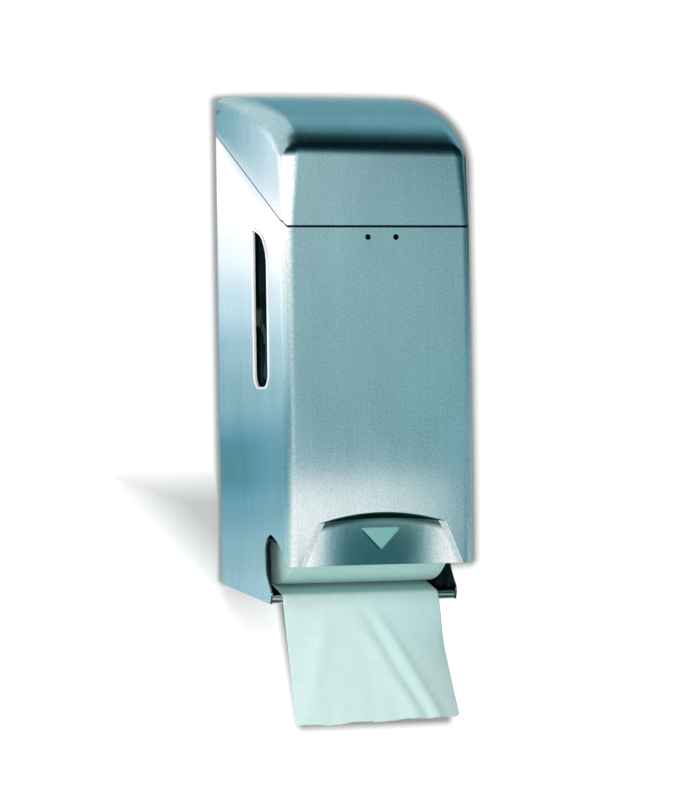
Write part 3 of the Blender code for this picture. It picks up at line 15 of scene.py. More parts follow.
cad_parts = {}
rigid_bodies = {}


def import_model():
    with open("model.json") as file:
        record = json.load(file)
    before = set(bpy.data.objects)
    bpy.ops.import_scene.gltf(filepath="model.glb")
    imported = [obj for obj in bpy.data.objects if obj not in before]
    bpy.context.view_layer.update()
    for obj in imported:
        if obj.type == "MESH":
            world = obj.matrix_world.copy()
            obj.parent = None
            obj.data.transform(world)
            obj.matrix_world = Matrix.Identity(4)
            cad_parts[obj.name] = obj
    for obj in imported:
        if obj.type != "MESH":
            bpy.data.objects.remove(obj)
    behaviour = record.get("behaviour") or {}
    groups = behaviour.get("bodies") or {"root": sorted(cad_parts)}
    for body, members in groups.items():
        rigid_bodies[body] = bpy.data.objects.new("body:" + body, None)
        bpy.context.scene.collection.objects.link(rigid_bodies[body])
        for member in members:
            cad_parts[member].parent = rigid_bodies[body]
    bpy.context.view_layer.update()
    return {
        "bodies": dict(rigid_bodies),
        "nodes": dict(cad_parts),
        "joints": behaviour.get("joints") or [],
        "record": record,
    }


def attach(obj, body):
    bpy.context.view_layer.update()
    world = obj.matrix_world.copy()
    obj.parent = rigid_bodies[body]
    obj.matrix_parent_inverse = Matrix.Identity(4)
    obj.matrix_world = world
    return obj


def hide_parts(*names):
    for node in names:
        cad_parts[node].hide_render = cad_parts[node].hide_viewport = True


log = logging.getLogger("dispenser")

Pair = tuple[float, float]
Triple = tuple[float, float, float]
Colour = tuple[float, float, float]
Stops = tuple[Pair, ...]
Socket = bpy.types.NodeSocket
Value = Socket | float

FLOOR_OF_MODEL = 0.155
"""Height of the frame's origin above the lowest tip of the case, in metres."""

NOISE_RANGE = (0.3, 0.7)
"""Factors between which nearly all of a fine noise lies."""

WHITE: Colour = (1.0, 1.0, 1.0)

GLOW = ((0.0, (0.0, 0.01, 0.015)), (0.15, (0.06, 0.20, 0.22)), (0.30, (0.25, 0.50, 0.57)),
        (0.50, (0.50, 0.69, 0.71)), (0.65, (0.90, 1.02, 1.04)), (0.80, (1.40, 1.29, 1.25)),
        (1.0, (2.20, 1.65, 1.58)), (1.2, (3.40, 2.50, 2.40)))
"""Glow of the reflector cards from none to full: teal when low, white when high."""


class Side(Enum):
    """Left or right half of the case, seen by someone who faces it."""

    LEFT = -1.0
    RIGHT = 1.0

    @property
    def word(self) -> str:
        """Word that the node names end with."""
        return self.name.lower()


class Slot(Enum):
    """Material slots of the record."""

    CASE_STEEL = "case_steel"
    BARE_STEEL = "bare_steel"
    SPRING_STEEL = "spring_steel"
    BLACK_PLASTIC = "black_plastic"
    TISSUE = "tissue"
    CARDBOARD = "cardboard"


def spot(x: float, out: float, height: float) -> Vector:
    """Turn a place measured from the wall and the case's tip into the frame.

    Args:
        x: Distance to the right of the middle, in metres.
        out: Distance out of the wall, in metres.
        height: Height above the case's lowest tip, in metres.

    Returns:
        The place in the shared frame.
    """
    return Vector((x, -out, height - FLOOR_OF_MODEL))


def shade(colour: Colour, share: float) -> Colour:
    """Scale a colour's brightness."""
    return tuple(min(1.0, part * share) for part in colour)


def glow(level: float) -> Colour:
    """Read the colour of a card from the scale of glows.

    Args:
        level: Brightness from 0 to 1.2.

    Returns:
        The colour, which may be brighter than white.
    """
    level = max(0.0, min(GLOW[-1][0], level))
    for (low, first), (high, second) in zip(GLOW, GLOW[1:]):
        if level <= high:
            t = (level - low) / (high - low)
            return tuple(a + (b - a) * t for a, b in zip(first, second))
    return GLOW[-1][1]


def eased(stops: Stops, value: float) -> float:
    """Read a level from a few stops.

    Args:
        stops: Pairs of place and level in rising order.
        value: Place to read.

    Returns:
        The level there, eased between the stops.
    """
    if value <= stops[0][0]:
        return stops[0][1]
    for (low, first), (high, second) in zip(stops, stops[1:]):
        if value <= high:
            t = (value - low) / (high - low)
            return first + (second - first) * t * t * (3.0 - 2.0 * t)
    return stops[-1][1]


class NodeBoard:
    """A small helper that lays out and wires the nodes of a material or a world."""

    def __init__(self, owner: bpy.types.Material | bpy.types.World,
                 output: str = "OutputMaterial") -> None:
        """Clear the owner's nodes and add its output.

        Args:
            owner: New material or world.
            output: Kind of its output node.
        """
        owner.use_nodes = True
        self.owner = owner
        self.tree = owner.node_tree
        self.tree.nodes.clear()
        self.output = self.add(output)

    @classmethod
    def fresh(cls, name: str) -> "NodeBoard":
        """Board of a new material."""
        return cls(bpy.data.materials.new(name))

    def add(self, kind: str, links: dict[str | int, object] | None = None,
            **settings: object) -> bpy.types.Node:
        """Add a node, set its properties and wire its inputs.

        Args:
            kind: Node type without the ShaderNode prefix.
            links: Input name or index to an output socket or a plain value.
            settings: Properties of the node.

        Returns:
            The new node.
        """
        node = self.tree.nodes.new("ShaderNode" + kind)
        for key, value in settings.items():
            setattr(node, key, value)
        for key, value in (links or {}).items():
            if isinstance(value, Socket):
                self.tree.links.new(value, node.inputs[key])
            else:
                node.inputs[key].default_value = value
        return node

    def place(self) -> Socket:
        """Object coordinates, which are the shared frame's metres."""
        return self.add("TexCoord").outputs["Object"]

    def axes(self) -> tuple[Socket, Socket, Socket]:
        """Object coordinates, each by itself."""
        return tuple(self.add("SeparateXYZ", {0: self.place()}).outputs)

    def normal(self) -> Socket:
        """Normal of the surface."""
        return self.add("NewGeometry").outputs["Normal"]

    def aside(self) -> Socket:
        """How squarely the surface faces a side, from 0 to 1."""
        return self.math("ABSOLUTE", self.add("SeparateXYZ", {0: self.normal()}).outputs[0])

    def noise(self, scale: Triple, detail: float = 2.0, roughness: float = 0.5) -> Socket:
        """Noise with a feature size of its own along each axis.

        Args:
            scale: Features per metre along X, Y and Z.
            detail: Octaves of finer noise.
            roughness: Strength of the finer octaves.

        Returns:
            The noise's factor, about 0.5.
        """
        stretched = self.add("Mapping", {"Vector": self.place(), "Scale": scale}).outputs[0]
        return self.add("TexNoise", {"Vector": stretched, "Scale": 1.0, "Detail": detail,
                                     "Roughness": roughness}).outputs[0]

    def math(self, operation: str, first: Value, second: Value = 0.0) -> Socket:
        """One step of arithmetic on two sockets or values."""
        return self.add("Math", {0: first, 1: second}, operation=operation).outputs[0]

    def chain(self, operation: str, parts: Iterable[Value]) -> Socket:
        """The same step of arithmetic through a row of sockets or values."""
        return reduce(lambda first, second: self.math(operation, first, second), parts)

    def ranged(self, value: Value, low: float, high: float, new_low: float,
               new_high: float) -> Socket:
        """Map a value from one range into another, with clamping.

        Args:
            value: Socket to map.
            low: Value that gives new_low.
            high: Value that gives new_high.
            new_low: Lower result.
            new_high: Upper result.

        Returns:
            The mapped socket.
        """
        return self.add("MapRange", {0: value, 1: low, 2: high, 3: new_low, 4: new_high}).outputs[0]

    def blend(self, factor: Value, first: Socket | Colour, second: Socket | Colour) -> Socket:
        """Mix two colours.

        Args:
            factor: Share of the second colour.
            first: Colour or socket at 0.
            second: Colour or socket at 1.

        Returns:
            The mixed colour.
        """
        node = self.add("Mix", data_type="RGBA")
        for socket, value in zip((node.inputs[0], node.inputs[6], node.inputs[7]),
                                 (factor, first, second)):
            if isinstance(value, Socket):
                self.tree.links.new(value, socket)
            else:
                socket.default_value = value if isinstance(value, float) else (*value, 1.0)
        return node.outputs[2]

    def toned(self, factor: Socket, colour: Colour, low: float, high: float) -> Socket:
        """Let a colour swing between two shares of its brightness."""
        return self.blend(factor, shade(colour, low), shade(colour, high))

    def varied(self, noise: Socket, value: float, low: float, high: float) -> Socket:
        """Let a value swing with a noise between two shares of itself."""
        return self.ranged(noise, *NOISE_RANGE, value * low, value * high)

    def bump(self, height: Socket, strength: float, distance: float,
             normal: Socket | None = None) -> Socket:
        """Turn a height into a bumped normal.

        Args:
            height: Socket with the height.
            strength: Share of the full effect.
            distance: Depth of the relief, in metres.
            normal: Normal to build on.

        Returns:
            The bumped normal.
        """
        links = {"Height": height, "Strength": strength, "Distance": distance}
        if normal is not None:
            links["Normal"] = normal
        return self.add("Bump", links).outputs[0]

    def seen(self) -> Socket:
        """One for rays that see a surface, and zero for rays that only light with it."""
        rays = self.add("LightPath").outputs
        return self.chain("MAXIMUM", (rays["Is Camera Ray"], rays["Is Glossy Ray"],
                                      rays["Is Transmission Ray"]))

    def surface(self, shader: bpy.types.Node) -> bpy.types.Material | bpy.types.World:
        """Wire a shader to the output and return the owner."""
        self.tree.links.new(shader.outputs[0], self.output.inputs["Surface"])
        return self.owner


@dataclass(frozen=True)
class BrushedSteel:
    """Steel sheet with a satin gloss: speckled grain in front, long streaks on the sides."""

    name: str
    colour: Colour
    roughness: float = 0.24
    metallic: float = 1.0
    streaks: float = 0.05
    side_streaks: float = 0.16
    side_range: Pair = (0.5, 0.9)
    streak_scale: Triple = (1200.0, 1200.0, 18.0)
    speckle: float = 0.22
    speckle_scale: Triple = (1050.0, 1050.0, 760.0)
    cloud: float = 0.10
    cloud_scale: Triple = (30.0, 30.0, 12.0)
    swing: float = 0.055
    contrast: float = 0.14
    rough_swing: Pair = (0.88, 1.14)
    fine_scale: Triple = (1300.0, 1300.0, 420.0)
    relief: float = 0.035
    relief_depth: float = 0.00004
    anisotropy: float = 0.30
    across_grain: Triple = (0.0, 0.05, 1.0)

    def grain(self, board: NodeBoard) -> Socket:
        """Mix of streaks, speckle and slow clouds.

        Args:
            board: Material to add the nodes to.

        Returns:
            The grain's tone from 0 to 1.
        """
        streaks = board.noise(self.streak_scale, 3.0, 0.6)
        speckle = board.noise(self.speckle_scale, 2.0, 0.65)
        cloud = board.noise(self.cloud_scale, 3.0, 0.6)
        sideways = board.ranged(board.aside(), *self.side_range, self.streaks, self.side_streaks)
        parts = ((streaks, sideways), (speckle, self.speckle), (cloud, self.cloud))
        total = board.chain("ADD", [
            board.math("MULTIPLY", board.math("SUBTRACT", noise, 0.5), weight)
            for noise, weight in parts])
        return board.ranged(total, -self.swing, self.swing, 0.0, 1.0)

    def base(self, board: NodeBoard) -> Socket:
        """Colour of the sheet before the shader."""
        return board.toned(self.grain(board), self.colour, 1.0 - self.contrast, 1.0 + self.contrast)

    def rough(self, board: NodeBoard, fine: Socket) -> Socket:
        """Roughness of the sheet, varied by its fine grain."""
        return board.varied(fine, self.roughness, *self.rough_swing)

    def material(self) -> bpy.types.Material:
        """Build the finish.

        Returns:
            The material, which reads only object coordinates and normals.
        """
        board = NodeBoard.fresh(self.name)
        colour = self.base(board)
        fine = board.noise(self.fine_scale, 2.0, 0.6)
        across = board.add("VectorMath", {0: board.normal(), 1: self.across_grain},
                           operation="CROSS_PRODUCT")
        along = board.add("VectorMath", {0: across.outputs[0]}, operation="NORMALIZE")
        return board.surface(board.add("BsdfPrincipled", {
            "Base Color": colour, "Metallic": self.metallic, "Roughness": self.rough(board, fine),
            "Normal": board.bump(fine, self.relief, self.relief_depth),
            "Anisotropic": self.anisotropy, "Tangent": along.outputs[0]}))


@dataclass(frozen=True)
class Region:
    """Box of the case, as half its width and its ranges out of the wall and up."""

    half_width: float
    depths: Pair
    heights: Pair

    def mask(self, board: NodeBoard) -> Socket:
        """Find what lies in the box.

        Args:
            board: Material to add the nodes to.

        Returns:
            One inside the box and zero outside.
        """
        x, y, z = board.axes()
        low, high = (height - FLOOR_OF_MODEL for height in self.heights)
        limits = (("LESS_THAN", board.math("ABSOLUTE", x), self.half_width),
                  ("GREATER_THAN", y, -self.depths[1]), ("LESS_THAN", y, -self.depths[0]),
                  ("GREATER_THAN", z, low), ("LESS_THAN", z, high))
        return board.chain("MULTIPLY", [board.math(*limit) for limit in limits])


@dataclass(frozen=True)
class PressedSteel(BrushedSteel):
    """Brushed steel, smoother and with painted shade in the pressed finger recess, etched on its
    triangle.
    """

    triangle: Region = Region(0.0135, (0.1350, 0.1366), (0.0315, 0.0470))
    etched: Colour = (0.10, 0.31, 0.30)
    dullness: float = 0.85
    recess: Region = Region(0.0525, (0.1280, 0.1372), (0.0200, 0.0560))
    polish: float = 0.40
    # tint is painted teal shade in the middle of the recess; brow_shadow is a painted shadow under
    # the recess's brow.
    tint: Colour = (0.30, 0.62, 0.63)
    recess_shade_share: float = 0.55
    recess_shade_reach: Pair = (0.018, 0.034)
    brow_height: float = 0.0552
    brow_fall: float = 3.6
    brow_shadow: Colour = (0.01, 0.05, 0.05)
    shadow_share: float = 0.90
    shadow_reach: Pair = (0.0034, 0.0062)

    def base(self, board: NodeBoard) -> Socket:
        """Colour of the sheet, with painted teal shade in the recess and a painted shadow under its
        brow, deep on the triangle.

        Args:
            board: Material to add the nodes to.

        Returns:
            The colour.
        """
        inside = self.recess.mask(board)
        x, _, z = board.axes()
        brow = board.math("SUBTRACT", self.brow_height - FLOOR_OF_MODEL,
                          board.chain("MULTIPLY", (x, x, self.brow_fall)))
        # Painted shade: teal in the middle of the recess, and a dark painted shadow under its brow.
        shadow = board.ranged(board.math("SUBTRACT", brow, z), *self.shadow_reach,
                              self.shadow_share, 0.0)
        middle = board.ranged(board.math("ABSOLUTE", x), *self.recess_shade_reach, self.recess_shade_share, 0.0)
        colour = board.blend(board.math("MULTIPLY", inside, middle), super().base(board), self.tint)
        colour = board.blend(board.math("MULTIPLY", shadow, inside), colour, self.brow_shadow)
        return board.blend(self.triangle.mask(board), colour,
                           board.blend(self.dullness, colour, self.etched))

    def rough(self, board: NodeBoard, fine: Socket) -> Socket:
        """Roughness of the sheet, lower in the recess."""
        share = board.ranged(self.recess.mask(board), 0.0, 1.0, 1.0, 1.0 - self.polish)
        return board.math("MULTIPLY", super().rough(board, fine), share)


@dataclass(frozen=True)
class HoodSteel(BrushedSteel):
    """Brushed steel whose skirt under the seam is painted nearly black: painted shade in the seam."""

    seam_height: float = 0.2282
    knee_height: float = 0.2305
    knee_out: float = 0.1345
    slope: float = 0.4587
    # Painted shade: its colour, and how fully the skirt below the seam takes it.
    skirt_painted_shade: Colour = (0.0, 0.01, 0.012)
    seam_shade_share: float = 0.94

    def base(self, board: NodeBoard) -> Socket:
        """Colour of the sheet, with painted shade that makes it nearly black below the seam.

        Args:
            board: Material to add the nodes to.

        Returns:
            The colour.
        """
        _, back, up = board.axes()
        rise = board.math("MULTIPLY", board.math("ADD", back, self.knee_out), self.slope)
        line = board.math("ADD", rise, self.knee_height - FLOOR_OF_MODEL)
        # Painted shade: the skirt below the seam, at the front and along the slanted sides, is
        # darkened nearly to black.
        front = board.math("MULTIPLY", board.math("LESS_THAN", up, self.seam_height - FLOOR_OF_MODEL),
                           board.math("LESS_THAN", back, -self.knee_out))
        side = board.math("MULTIPLY", board.math("LESS_THAN", up, line),
                          board.math("GREATER_THAN", back, -self.knee_out))
        plain = super().base(board)
        return board.blend(board.math("MAXIMUM", front, side), plain,
                           board.blend(self.seam_shade_share, plain, self.skirt_painted_shade))


@dataclass(frozen=True)
class MouldedPlastic:
    """Injection-moulded plastic with a fine spark-eroded texture."""

    name: str
    colour: Colour
    roughness: float = 0.62
    gloss: float = 0.06
    spark_scale: Triple = (2100.0, 2100.0, 2100.0)
    spark_relief: float = 0.25
    spark_depth: float = 0.00005
    rough_swing: Pair = (0.85, 1.15)
    wear_scale: Triple = (60.0, 60.0, 60.0)
    wear_range: Pair = (0.35, 0.7)
    tones: Pair = (0.8, 1.5)

    def material(self) -> bpy.types.Material:
        """Build the finish.

        Returns:
            The material.
        """
        board = NodeBoard.fresh(self.name)
        spark = board.noise(self.spark_scale, 2.0, 0.6)
        wear = board.ranged(board.noise(self.wear_scale, 3.0, 0.6), *self.wear_range, 0.0, 1.0)
        return board.surface(board.add("BsdfPrincipled", {
            "Base Color": board.toned(wear, self.colour, *self.tones),
            "Roughness": board.varied(spark, self.roughness, *self.rough_swing),
            "Normal": board.bump(spark, self.spark_relief, self.spark_depth),
            "Specular IOR Level": self.gloss}))


@dataclass(frozen=True)
class Tissue:
    """Soft two-ply tissue with a faint crepe and a pale mint tint."""

    name: str
    colour: Colour
    crepe_scale: Triple = (500.0, 1500.0, 1500.0)
    crepe_relief: float = 0.22
    crepe_depth: float = 0.00012
    fluff_scale: Triple = (160.0, 160.0, 160.0)
    tone_range: Pair = (0.35, 0.65)
    tones: Pair = (0.965, 1.03)

    def detail(self, board: NodeBoard, fluff: Socket, colour: Socket,
               normal: Socket) -> tuple[Socket, Socket]:
        """Add what only some tissue shows; plain tissue stays as it is."""
        return colour, normal

    def material(self) -> bpy.types.Material:
        """Build the finish.

        Returns:
            The material.
        """
        board = NodeBoard.fresh(self.name)
        crepe = board.noise(self.crepe_scale, 3.0, 0.6)
        fluff = board.noise(self.fluff_scale, 3.0, 0.6)
        tone = board.math("ADD", board.math("MULTIPLY", crepe, 0.5),
                          board.math("MULTIPLY", fluff, 0.5))
        colour = board.toned(board.ranged(tone, *self.tone_range, 0.0, 1.0), self.colour, *self.tones)
        normal = board.bump(crepe, self.crepe_relief, self.crepe_depth)
        colour, normal = self.detail(board, fluff, colour, normal)
        return board.surface(board.add("BsdfPrincipled", {
            "Base Color": colour, "Roughness": 0.92, "Normal": normal, "Sheen Weight": 0.15,
            "Sheen Roughness": 0.5, "Specular IOR Level": 0.2}))


@dataclass(frozen=True)
class SheetTissue(Tissue):
    """Tissue of the hanging sheet, with painted shade at its right and on its run behind the lip."""

    # Painted shade: its colour, and where it lies on the sheet.
    sheet_painted_shade: Colour = (0.40, 0.66, 0.65)
    across: Pair = (-0.03, 0.055)
    right_shade_share: float = 0.75
    upward: Pair = (-0.235, -0.165)
    low_shade_share: float = 0.35
    lip: Pair = (-0.1030, -0.1005)
    lip_shade_share: float = 0.9

    def detail(self, board: NodeBoard, fluff: Socket, colour: Socket,
               normal: Socket) -> tuple[Socket, Socket]:
        """Paint shade on the sheet's right side and on its run behind the lip.

        Args:
            board: Material to add the nodes to.
            fluff: Soft noise of the paper.
            colour: Colour so far.
            normal: Normal so far.

        Returns:
            The colour and the normal.
        """
        x, y, z = board.axes()
        # Painted shade towards the right, fading down the sheet, and on the run behind the lip.
        right = board.math("MULTIPLY", board.ranged(x, *self.across, 0.0, self.right_shade_share),
                           board.ranged(z, *self.upward, self.low_shade_share, 1.0))
        behind = board.ranged(y, *self.lip, 0.0, self.lip_shade_share)
        return board.blend(board.math("MAXIMUM", right, behind), colour, self.sheet_painted_shade), normal


@dataclass(frozen=True)
class WoundTissue(Tissue):
    """Tissue of a roll, whose ends show its layers."""

    axis: Pair = (0.0, 0.0)
    turns: float = 9000.0
    wobble: float = 0.0009
    end_range: Pair = (0.6, 0.9)
    ring_range: Pair = (-1.0, 0.2)
    ring_share: float = 0.30
    ring_tone: float = 0.80
    ring_relief: float = 0.35

    def detail(self, board: NodeBoard, fluff: Socket, colour: Socket,
               normal: Socket) -> tuple[Socket, Socket]:
        """Draw the layers' rings on the roll's ends.

        Args:
            board: Material to add the nodes to.
            fluff: Soft noise of the paper.
            colour: Colour so far.
            normal: Normal so far.

        Returns:
            The colour and the normal.
        """
        _, y, z = board.axes()
        squares = []
        for socket, middle in zip((z, y), (self.axis[1], self.axis[0])):
            apart = board.math("SUBTRACT", socket, middle)
            squares.append(board.math("MULTIPLY", apart, apart))
        radius = board.math("SQRT", board.math("ADD", *squares))
        wobbling = board.math("ADD", radius, board.math("MULTIPLY", fluff, self.wobble))
        rings = board.math("SINE", board.math("MULTIPLY", wobbling, self.turns))
        rings = board.math("MULTIPLY", rings,
                           board.ranged(board.aside(), *self.end_range, 0.0, 1.0))
        colour = board.blend(board.ranged(rings, *self.ring_range, self.ring_share, 0.0), colour,
                             shade(self.colour, self.ring_tone))
        return colour, board.bump(rings, self.ring_relief, self.crepe_depth, normal)


@dataclass(frozen=True)
class Cardboard:
    """Grey-brown board, wound in a spiral from strips."""

    name: str
    colour: Colour
    fibre_scale: Triple = (900.0, 900.0, 900.0)
    slant_across: float = 190.0
    slant_up: float = 140.0
    seam_range: Pair = (0.97, 1.0)
    seam_share: float = 0.6
    seam_tone: float = 0.6
    tones: Pair = (0.85, 1.12)
    relief: float = 0.3
    relief_depth: float = 0.0001

    def material(self) -> bpy.types.Material:
        """Build the finish.

        Returns:
            The material, with the strips' slanted seam.
        """
        board = NodeBoard.fresh(self.name)
        fibre = board.noise(self.fibre_scale, 4.0, 0.65)
        x, _, z = board.axes()
        slant = board.math("ADD", board.math("MULTIPLY", x, self.slant_across),
                           board.math("MULTIPLY", z, self.slant_up))
        seam = board.ranged(board.math("SINE", slant), *self.seam_range, 0.0, self.seam_share)
        colour = board.toned(fibre, self.colour, *self.tones)
        return board.surface(board.add("BsdfPrincipled", {
            "Base Color": board.blend(seam, colour, shade(self.colour, self.seam_tone)),
            "Roughness": 0.85, "Normal": board.bump(fibre, self.relief, self.relief_depth)}))


class Finishes:
    """Every finish of the dispenser, built once."""

    STEEL: Colour = (0.45, 0.60, 0.63)

    def __init__(self) -> None:
        """Build the materials."""
        self.hood_steel = HoodSteel("hood_steel_brushed", self.STEEL).material()
        # Near-white, weakly metallic finish of the window hems: a painted highlight.
        self.edge_highlight_steel = BrushedSteel("steel_edge_painted_highlight", (0.93, 1.0, 1.0), 0.35,
                                       metallic=0.25).material()
        self.tissue = SheetTissue("tissue_sheet", (0.65, 0.83, 0.805)).material()
        self.black_plastic = MouldedPlastic("black_moulded", (0.006, 0.017, 0.019)).material()
        self.by_slot = {
            Slot.CASE_STEEL: PressedSteel("case_steel_brushed", self.STEEL).material(),
            Slot.BARE_STEEL: BrushedSteel("bare_steel_satin", (0.50, 0.58, 0.59), 0.32).material(),
            Slot.SPRING_STEEL: BrushedSteel("spring_steel_blackened", (0.06, 0.08, 0.09),
                                            0.34).material(),
            Slot.BLACK_PLASTIC: self.black_plastic,
            Slot.CARDBOARD: Cardboard("core_board", (0.42, 0.36, 0.27)).material(),
            Slot.TISSUE: self.tissue}

    def of_node(self, name: str, slot: Slot) -> bpy.types.Material:
        """Choose the finish of a CAD node.

        Args:
            name: Name of the node.
            slot: Its slot in the record.

        Returns:
            The finish; the hood's and the stop pivots' isn't that of their slot.
        """
        if name.startswith("stop_pivot"):
            return self.black_plastic
        return self.hood_steel if name == "hood" else self.by_slot[slot]


@dataclass(frozen=True)
class FineZone:
    """The finger recess, where even shallow folds stay crisp."""

    half_width: float = 0.0528
    front: float = -0.129
    top: float = -0.095
    angle: float = math.radians(4.0)


class CrispShading:
    """Shading for CAD nodes: rounds stay smooth and folded edges stay crisp."""

    MERGE = 0.000004
    WEIGHT = 60

    def __init__(self, name: str, zone: FineZone | None = None,
                 angle: float = math.radians(32.0)) -> None:
        """Build the shared node group.

        Args:
            name: Name of the group.
            zone: Part of the node with a finer limit.
            angle: Edges that turn by more than this stay sharp.
        """
        self.group = bpy.data.node_groups.new(name, "GeometryNodeTree")
        for way in ("INPUT", "OUTPUT"):
            self.group.interface.new_socket("Geometry", in_out=way,
                                            socket_type="NodeSocketGeometry")
        nodes, links = self.group.nodes, self.group.links
        start, end = nodes.new("NodeGroupInput"), nodes.new("NodeGroupOutput")
        merge = nodes.new("GeometryNodeMergeByDistance")
        merge.inputs["Distance"].default_value = self.MERGE
        plain = nodes.new("GeometryNodeRemoveAttribute")
        plain.inputs["Name"].default_value = "custom_normal"
        smooth = nodes.new("GeometryNodeSetShadeSmooth")
        smooth.domain = "FACE"
        crisp = nodes.new("GeometryNodeSetShadeSmooth")
        crisp.domain = "EDGE"
        crisp.inputs["Shade Smooth"].default_value = False
        turn = nodes.new("GeometryNodeInputMeshEdgeAngle").outputs[0]
        sharp = self.step("GREATER_THAN", turn, angle)
        if zone is not None:
            sharp = self.step("MAXIMUM", sharp, self.fine(turn, zone))
        links.new(sharp, crisp.inputs["Selection"])
        chain = (start, merge, plain, smooth, crisp, end)
        for first, second in zip(chain, chain[1:]):
            links.new(first.outputs[0], second.inputs[0])

    def fine(self, turn: Socket, zone: FineZone) -> Socket:
        """Find the edges in a zone that turn by more than its limit.

        Args:
            turn: Angle of each edge.
            zone: The zone.

        Returns:
            One for each such edge and zero for the others.
        """
        split = self.group.nodes.new("ShaderNodeSeparateXYZ")
        place = self.group.nodes.new("GeometryNodeInputPosition")
        self.group.links.new(place.outputs[0], split.inputs[0])
        inside = self.step("GREATER_THAN", turn, zone.angle)
        for socket, limit in ((self.step("ABSOLUTE", split.outputs[0], 0.0), zone.half_width),
                              (split.outputs[1], zone.front), (split.outputs[2], zone.top)):
            inside = self.step("MULTIPLY", inside, self.step("LESS_THAN", socket, limit))
        return inside

    def step(self, operation: str, first: Socket, second: Value) -> Socket:
        """Do one step of arithmetic in the group.

        Args:
            operation: Name of the operation.
            first: First socket.
            second: Second socket or value.

        Returns:
            The result.
        """
        node = self.group.nodes.new("ShaderNodeMath")
        node.operation = operation
        self.group.links.new(first, node.inputs[0])
        if isinstance(second, float):
            node.inputs[1].default_value = second
        else:
            self.group.links.new(second, node.inputs[1])
        return node.outputs[0]

    def dress(self, node: bpy.types.Object) -> None:
        """Add the shading to a node, without touching its mesh.

        Args:
            node: The CAD node.
        """
        node.modifiers.new("crisp", "NODES").node_group = self.group
        weighted = node.modifiers.new("weighted", "WEIGHTED_NORMAL")
        weighted.keep_sharp = True
        weighted.weight = self.WEIGHT


def link(name: str, work: bmesh.types.BMesh, material: bpy.types.Material,
         smooth: bool = True) -> bpy.types.Object:
    """Turn a bmesh into a finished object at the origin.

    Args:
        name: Name of the piece.
        work: Mesh to hand over; it is freed.
        material: Finish of the piece.
        smooth: Whether its faces shade smoothly.

    Returns:
        The new object.
    """
    mesh = bpy.data.meshes.new(name)
    for face in work.faces:
        face.smooth = smooth
    work.to_mesh(mesh)
    work.free()
    mesh.materials.append(material)
    piece = bpy.data.objects.new(name, mesh)
    bpy.context.scene.collection.objects.link(piece)
    return piece


@dataclass
class SteelCase:
    """Back plate, folded shell and tray, with the finished edges of the windows."""

    finishes: Finishes
    shading: CrispShading
    half_width: float = 0.060
    edge_width: float = 0.0017
    edge_proud: float = 0.0007
    edge_depth: float = 0.0023
    edge_round: float = 0.0007
    window_rear: float = 0.0755
    window_front: float = 0.105
    window_bottom: float = 0.131
    window_top_rear: float = 0.2295
    window_top_front: float = 0.221
    round_bottom: float = 0.0095
    round_top_front: float = 0.016
    round_top_rear: float = 0.004

    def window_corners(self) -> tuple[Triple, ...]:
        """Work out the corners of a window's hem, half its width outside the opening.

        Returns:
            For each corner: out, height and rounding radius.
        """
        half = self.edge_width / 2.0
        rear, front = self.window_rear - half, self.window_front + half
        bottom = self.window_bottom - half
        return ((rear, bottom, self.round_bottom + half),
                (front, bottom, self.round_bottom + half),
                (front, self.window_top_front + half, self.round_top_front + half),
                (rear, self.window_top_rear + half, self.round_top_rear + half))

    def window_edge(self, side: Side) -> bpy.types.Object:
        """Hem round one window: a slim bead that grips the sheet's edge, whose near-white finish is a
        painted highlight.

        Args:
            side: Side of the case.

        Returns:
            A closed ring with soft edges.
        """
        work = bmesh.new()
        face_x = side.value * (self.half_width + self.edge_proud)
        corners = [(work.verts.new(spot(face_x, out, height)), radius)
                   for out, height, radius in self.window_corners()]
        work.faces.new([vert for vert, _ in corners])
        for vert, radius in corners:
            bmesh.ops.bevel(work, geom=[vert], offset=radius, segments=8, profile=0.5,
                            affect="VERTICES", material=-1, offset_type="OFFSET")
        ring = bmesh.ops.inset_region(work, faces=work.faces[:], thickness=self.edge_width,
                                      use_boundary=True, use_even_offset=True)["faces"]
        inner = [item for item in work.faces if item not in ring]
        bmesh.ops.delete(work, geom=inner, context="FACES")
        raised = bmesh.ops.extrude_face_region(work, geom=work.faces[:])["geom"]
        moved = [item for item in raised if isinstance(item, bmesh.types.BMVert)]
        bmesh.ops.translate(work, verts=moved, vec=(-side.value * self.edge_depth, 0.0, 0.0))
        rims = [edge for edge in work.edges if edge.is_manifold and edge.calc_face_angle() > 1.0]
        bmesh.ops.bevel(work, geom=rims, offset=self.edge_round, segments=4, profile=0.5,
                        affect="EDGES", material=-1, offset_type="OFFSET")
        bmesh.ops.recalc_face_normals(work, faces=work.faces[:])
        hem = link("window_edge_" + side.word, work, self.finishes.edge_highlight_steel)
        hem.modifiers.new("weighted", "WEIGHTED_NORMAL").weight = CrispShading.WEIGHT
        return hem

    def build(self, frame: dict) -> None:
        """Make the case's own pieces and shade its nodes.

        Args:
            frame: The loaded frame.
        """
        for side in Side:
            edge = self.window_edge(side)
            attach(edge, "case")
            log.info("window edge %s", side.word)
        CrispShading("crisp_recess", FineZone()).dress(frame["nodes"]["body_shell"])
        for name in ("back_plate", "bottom_tray"):
            self.shading.dress(frame["nodes"][name])


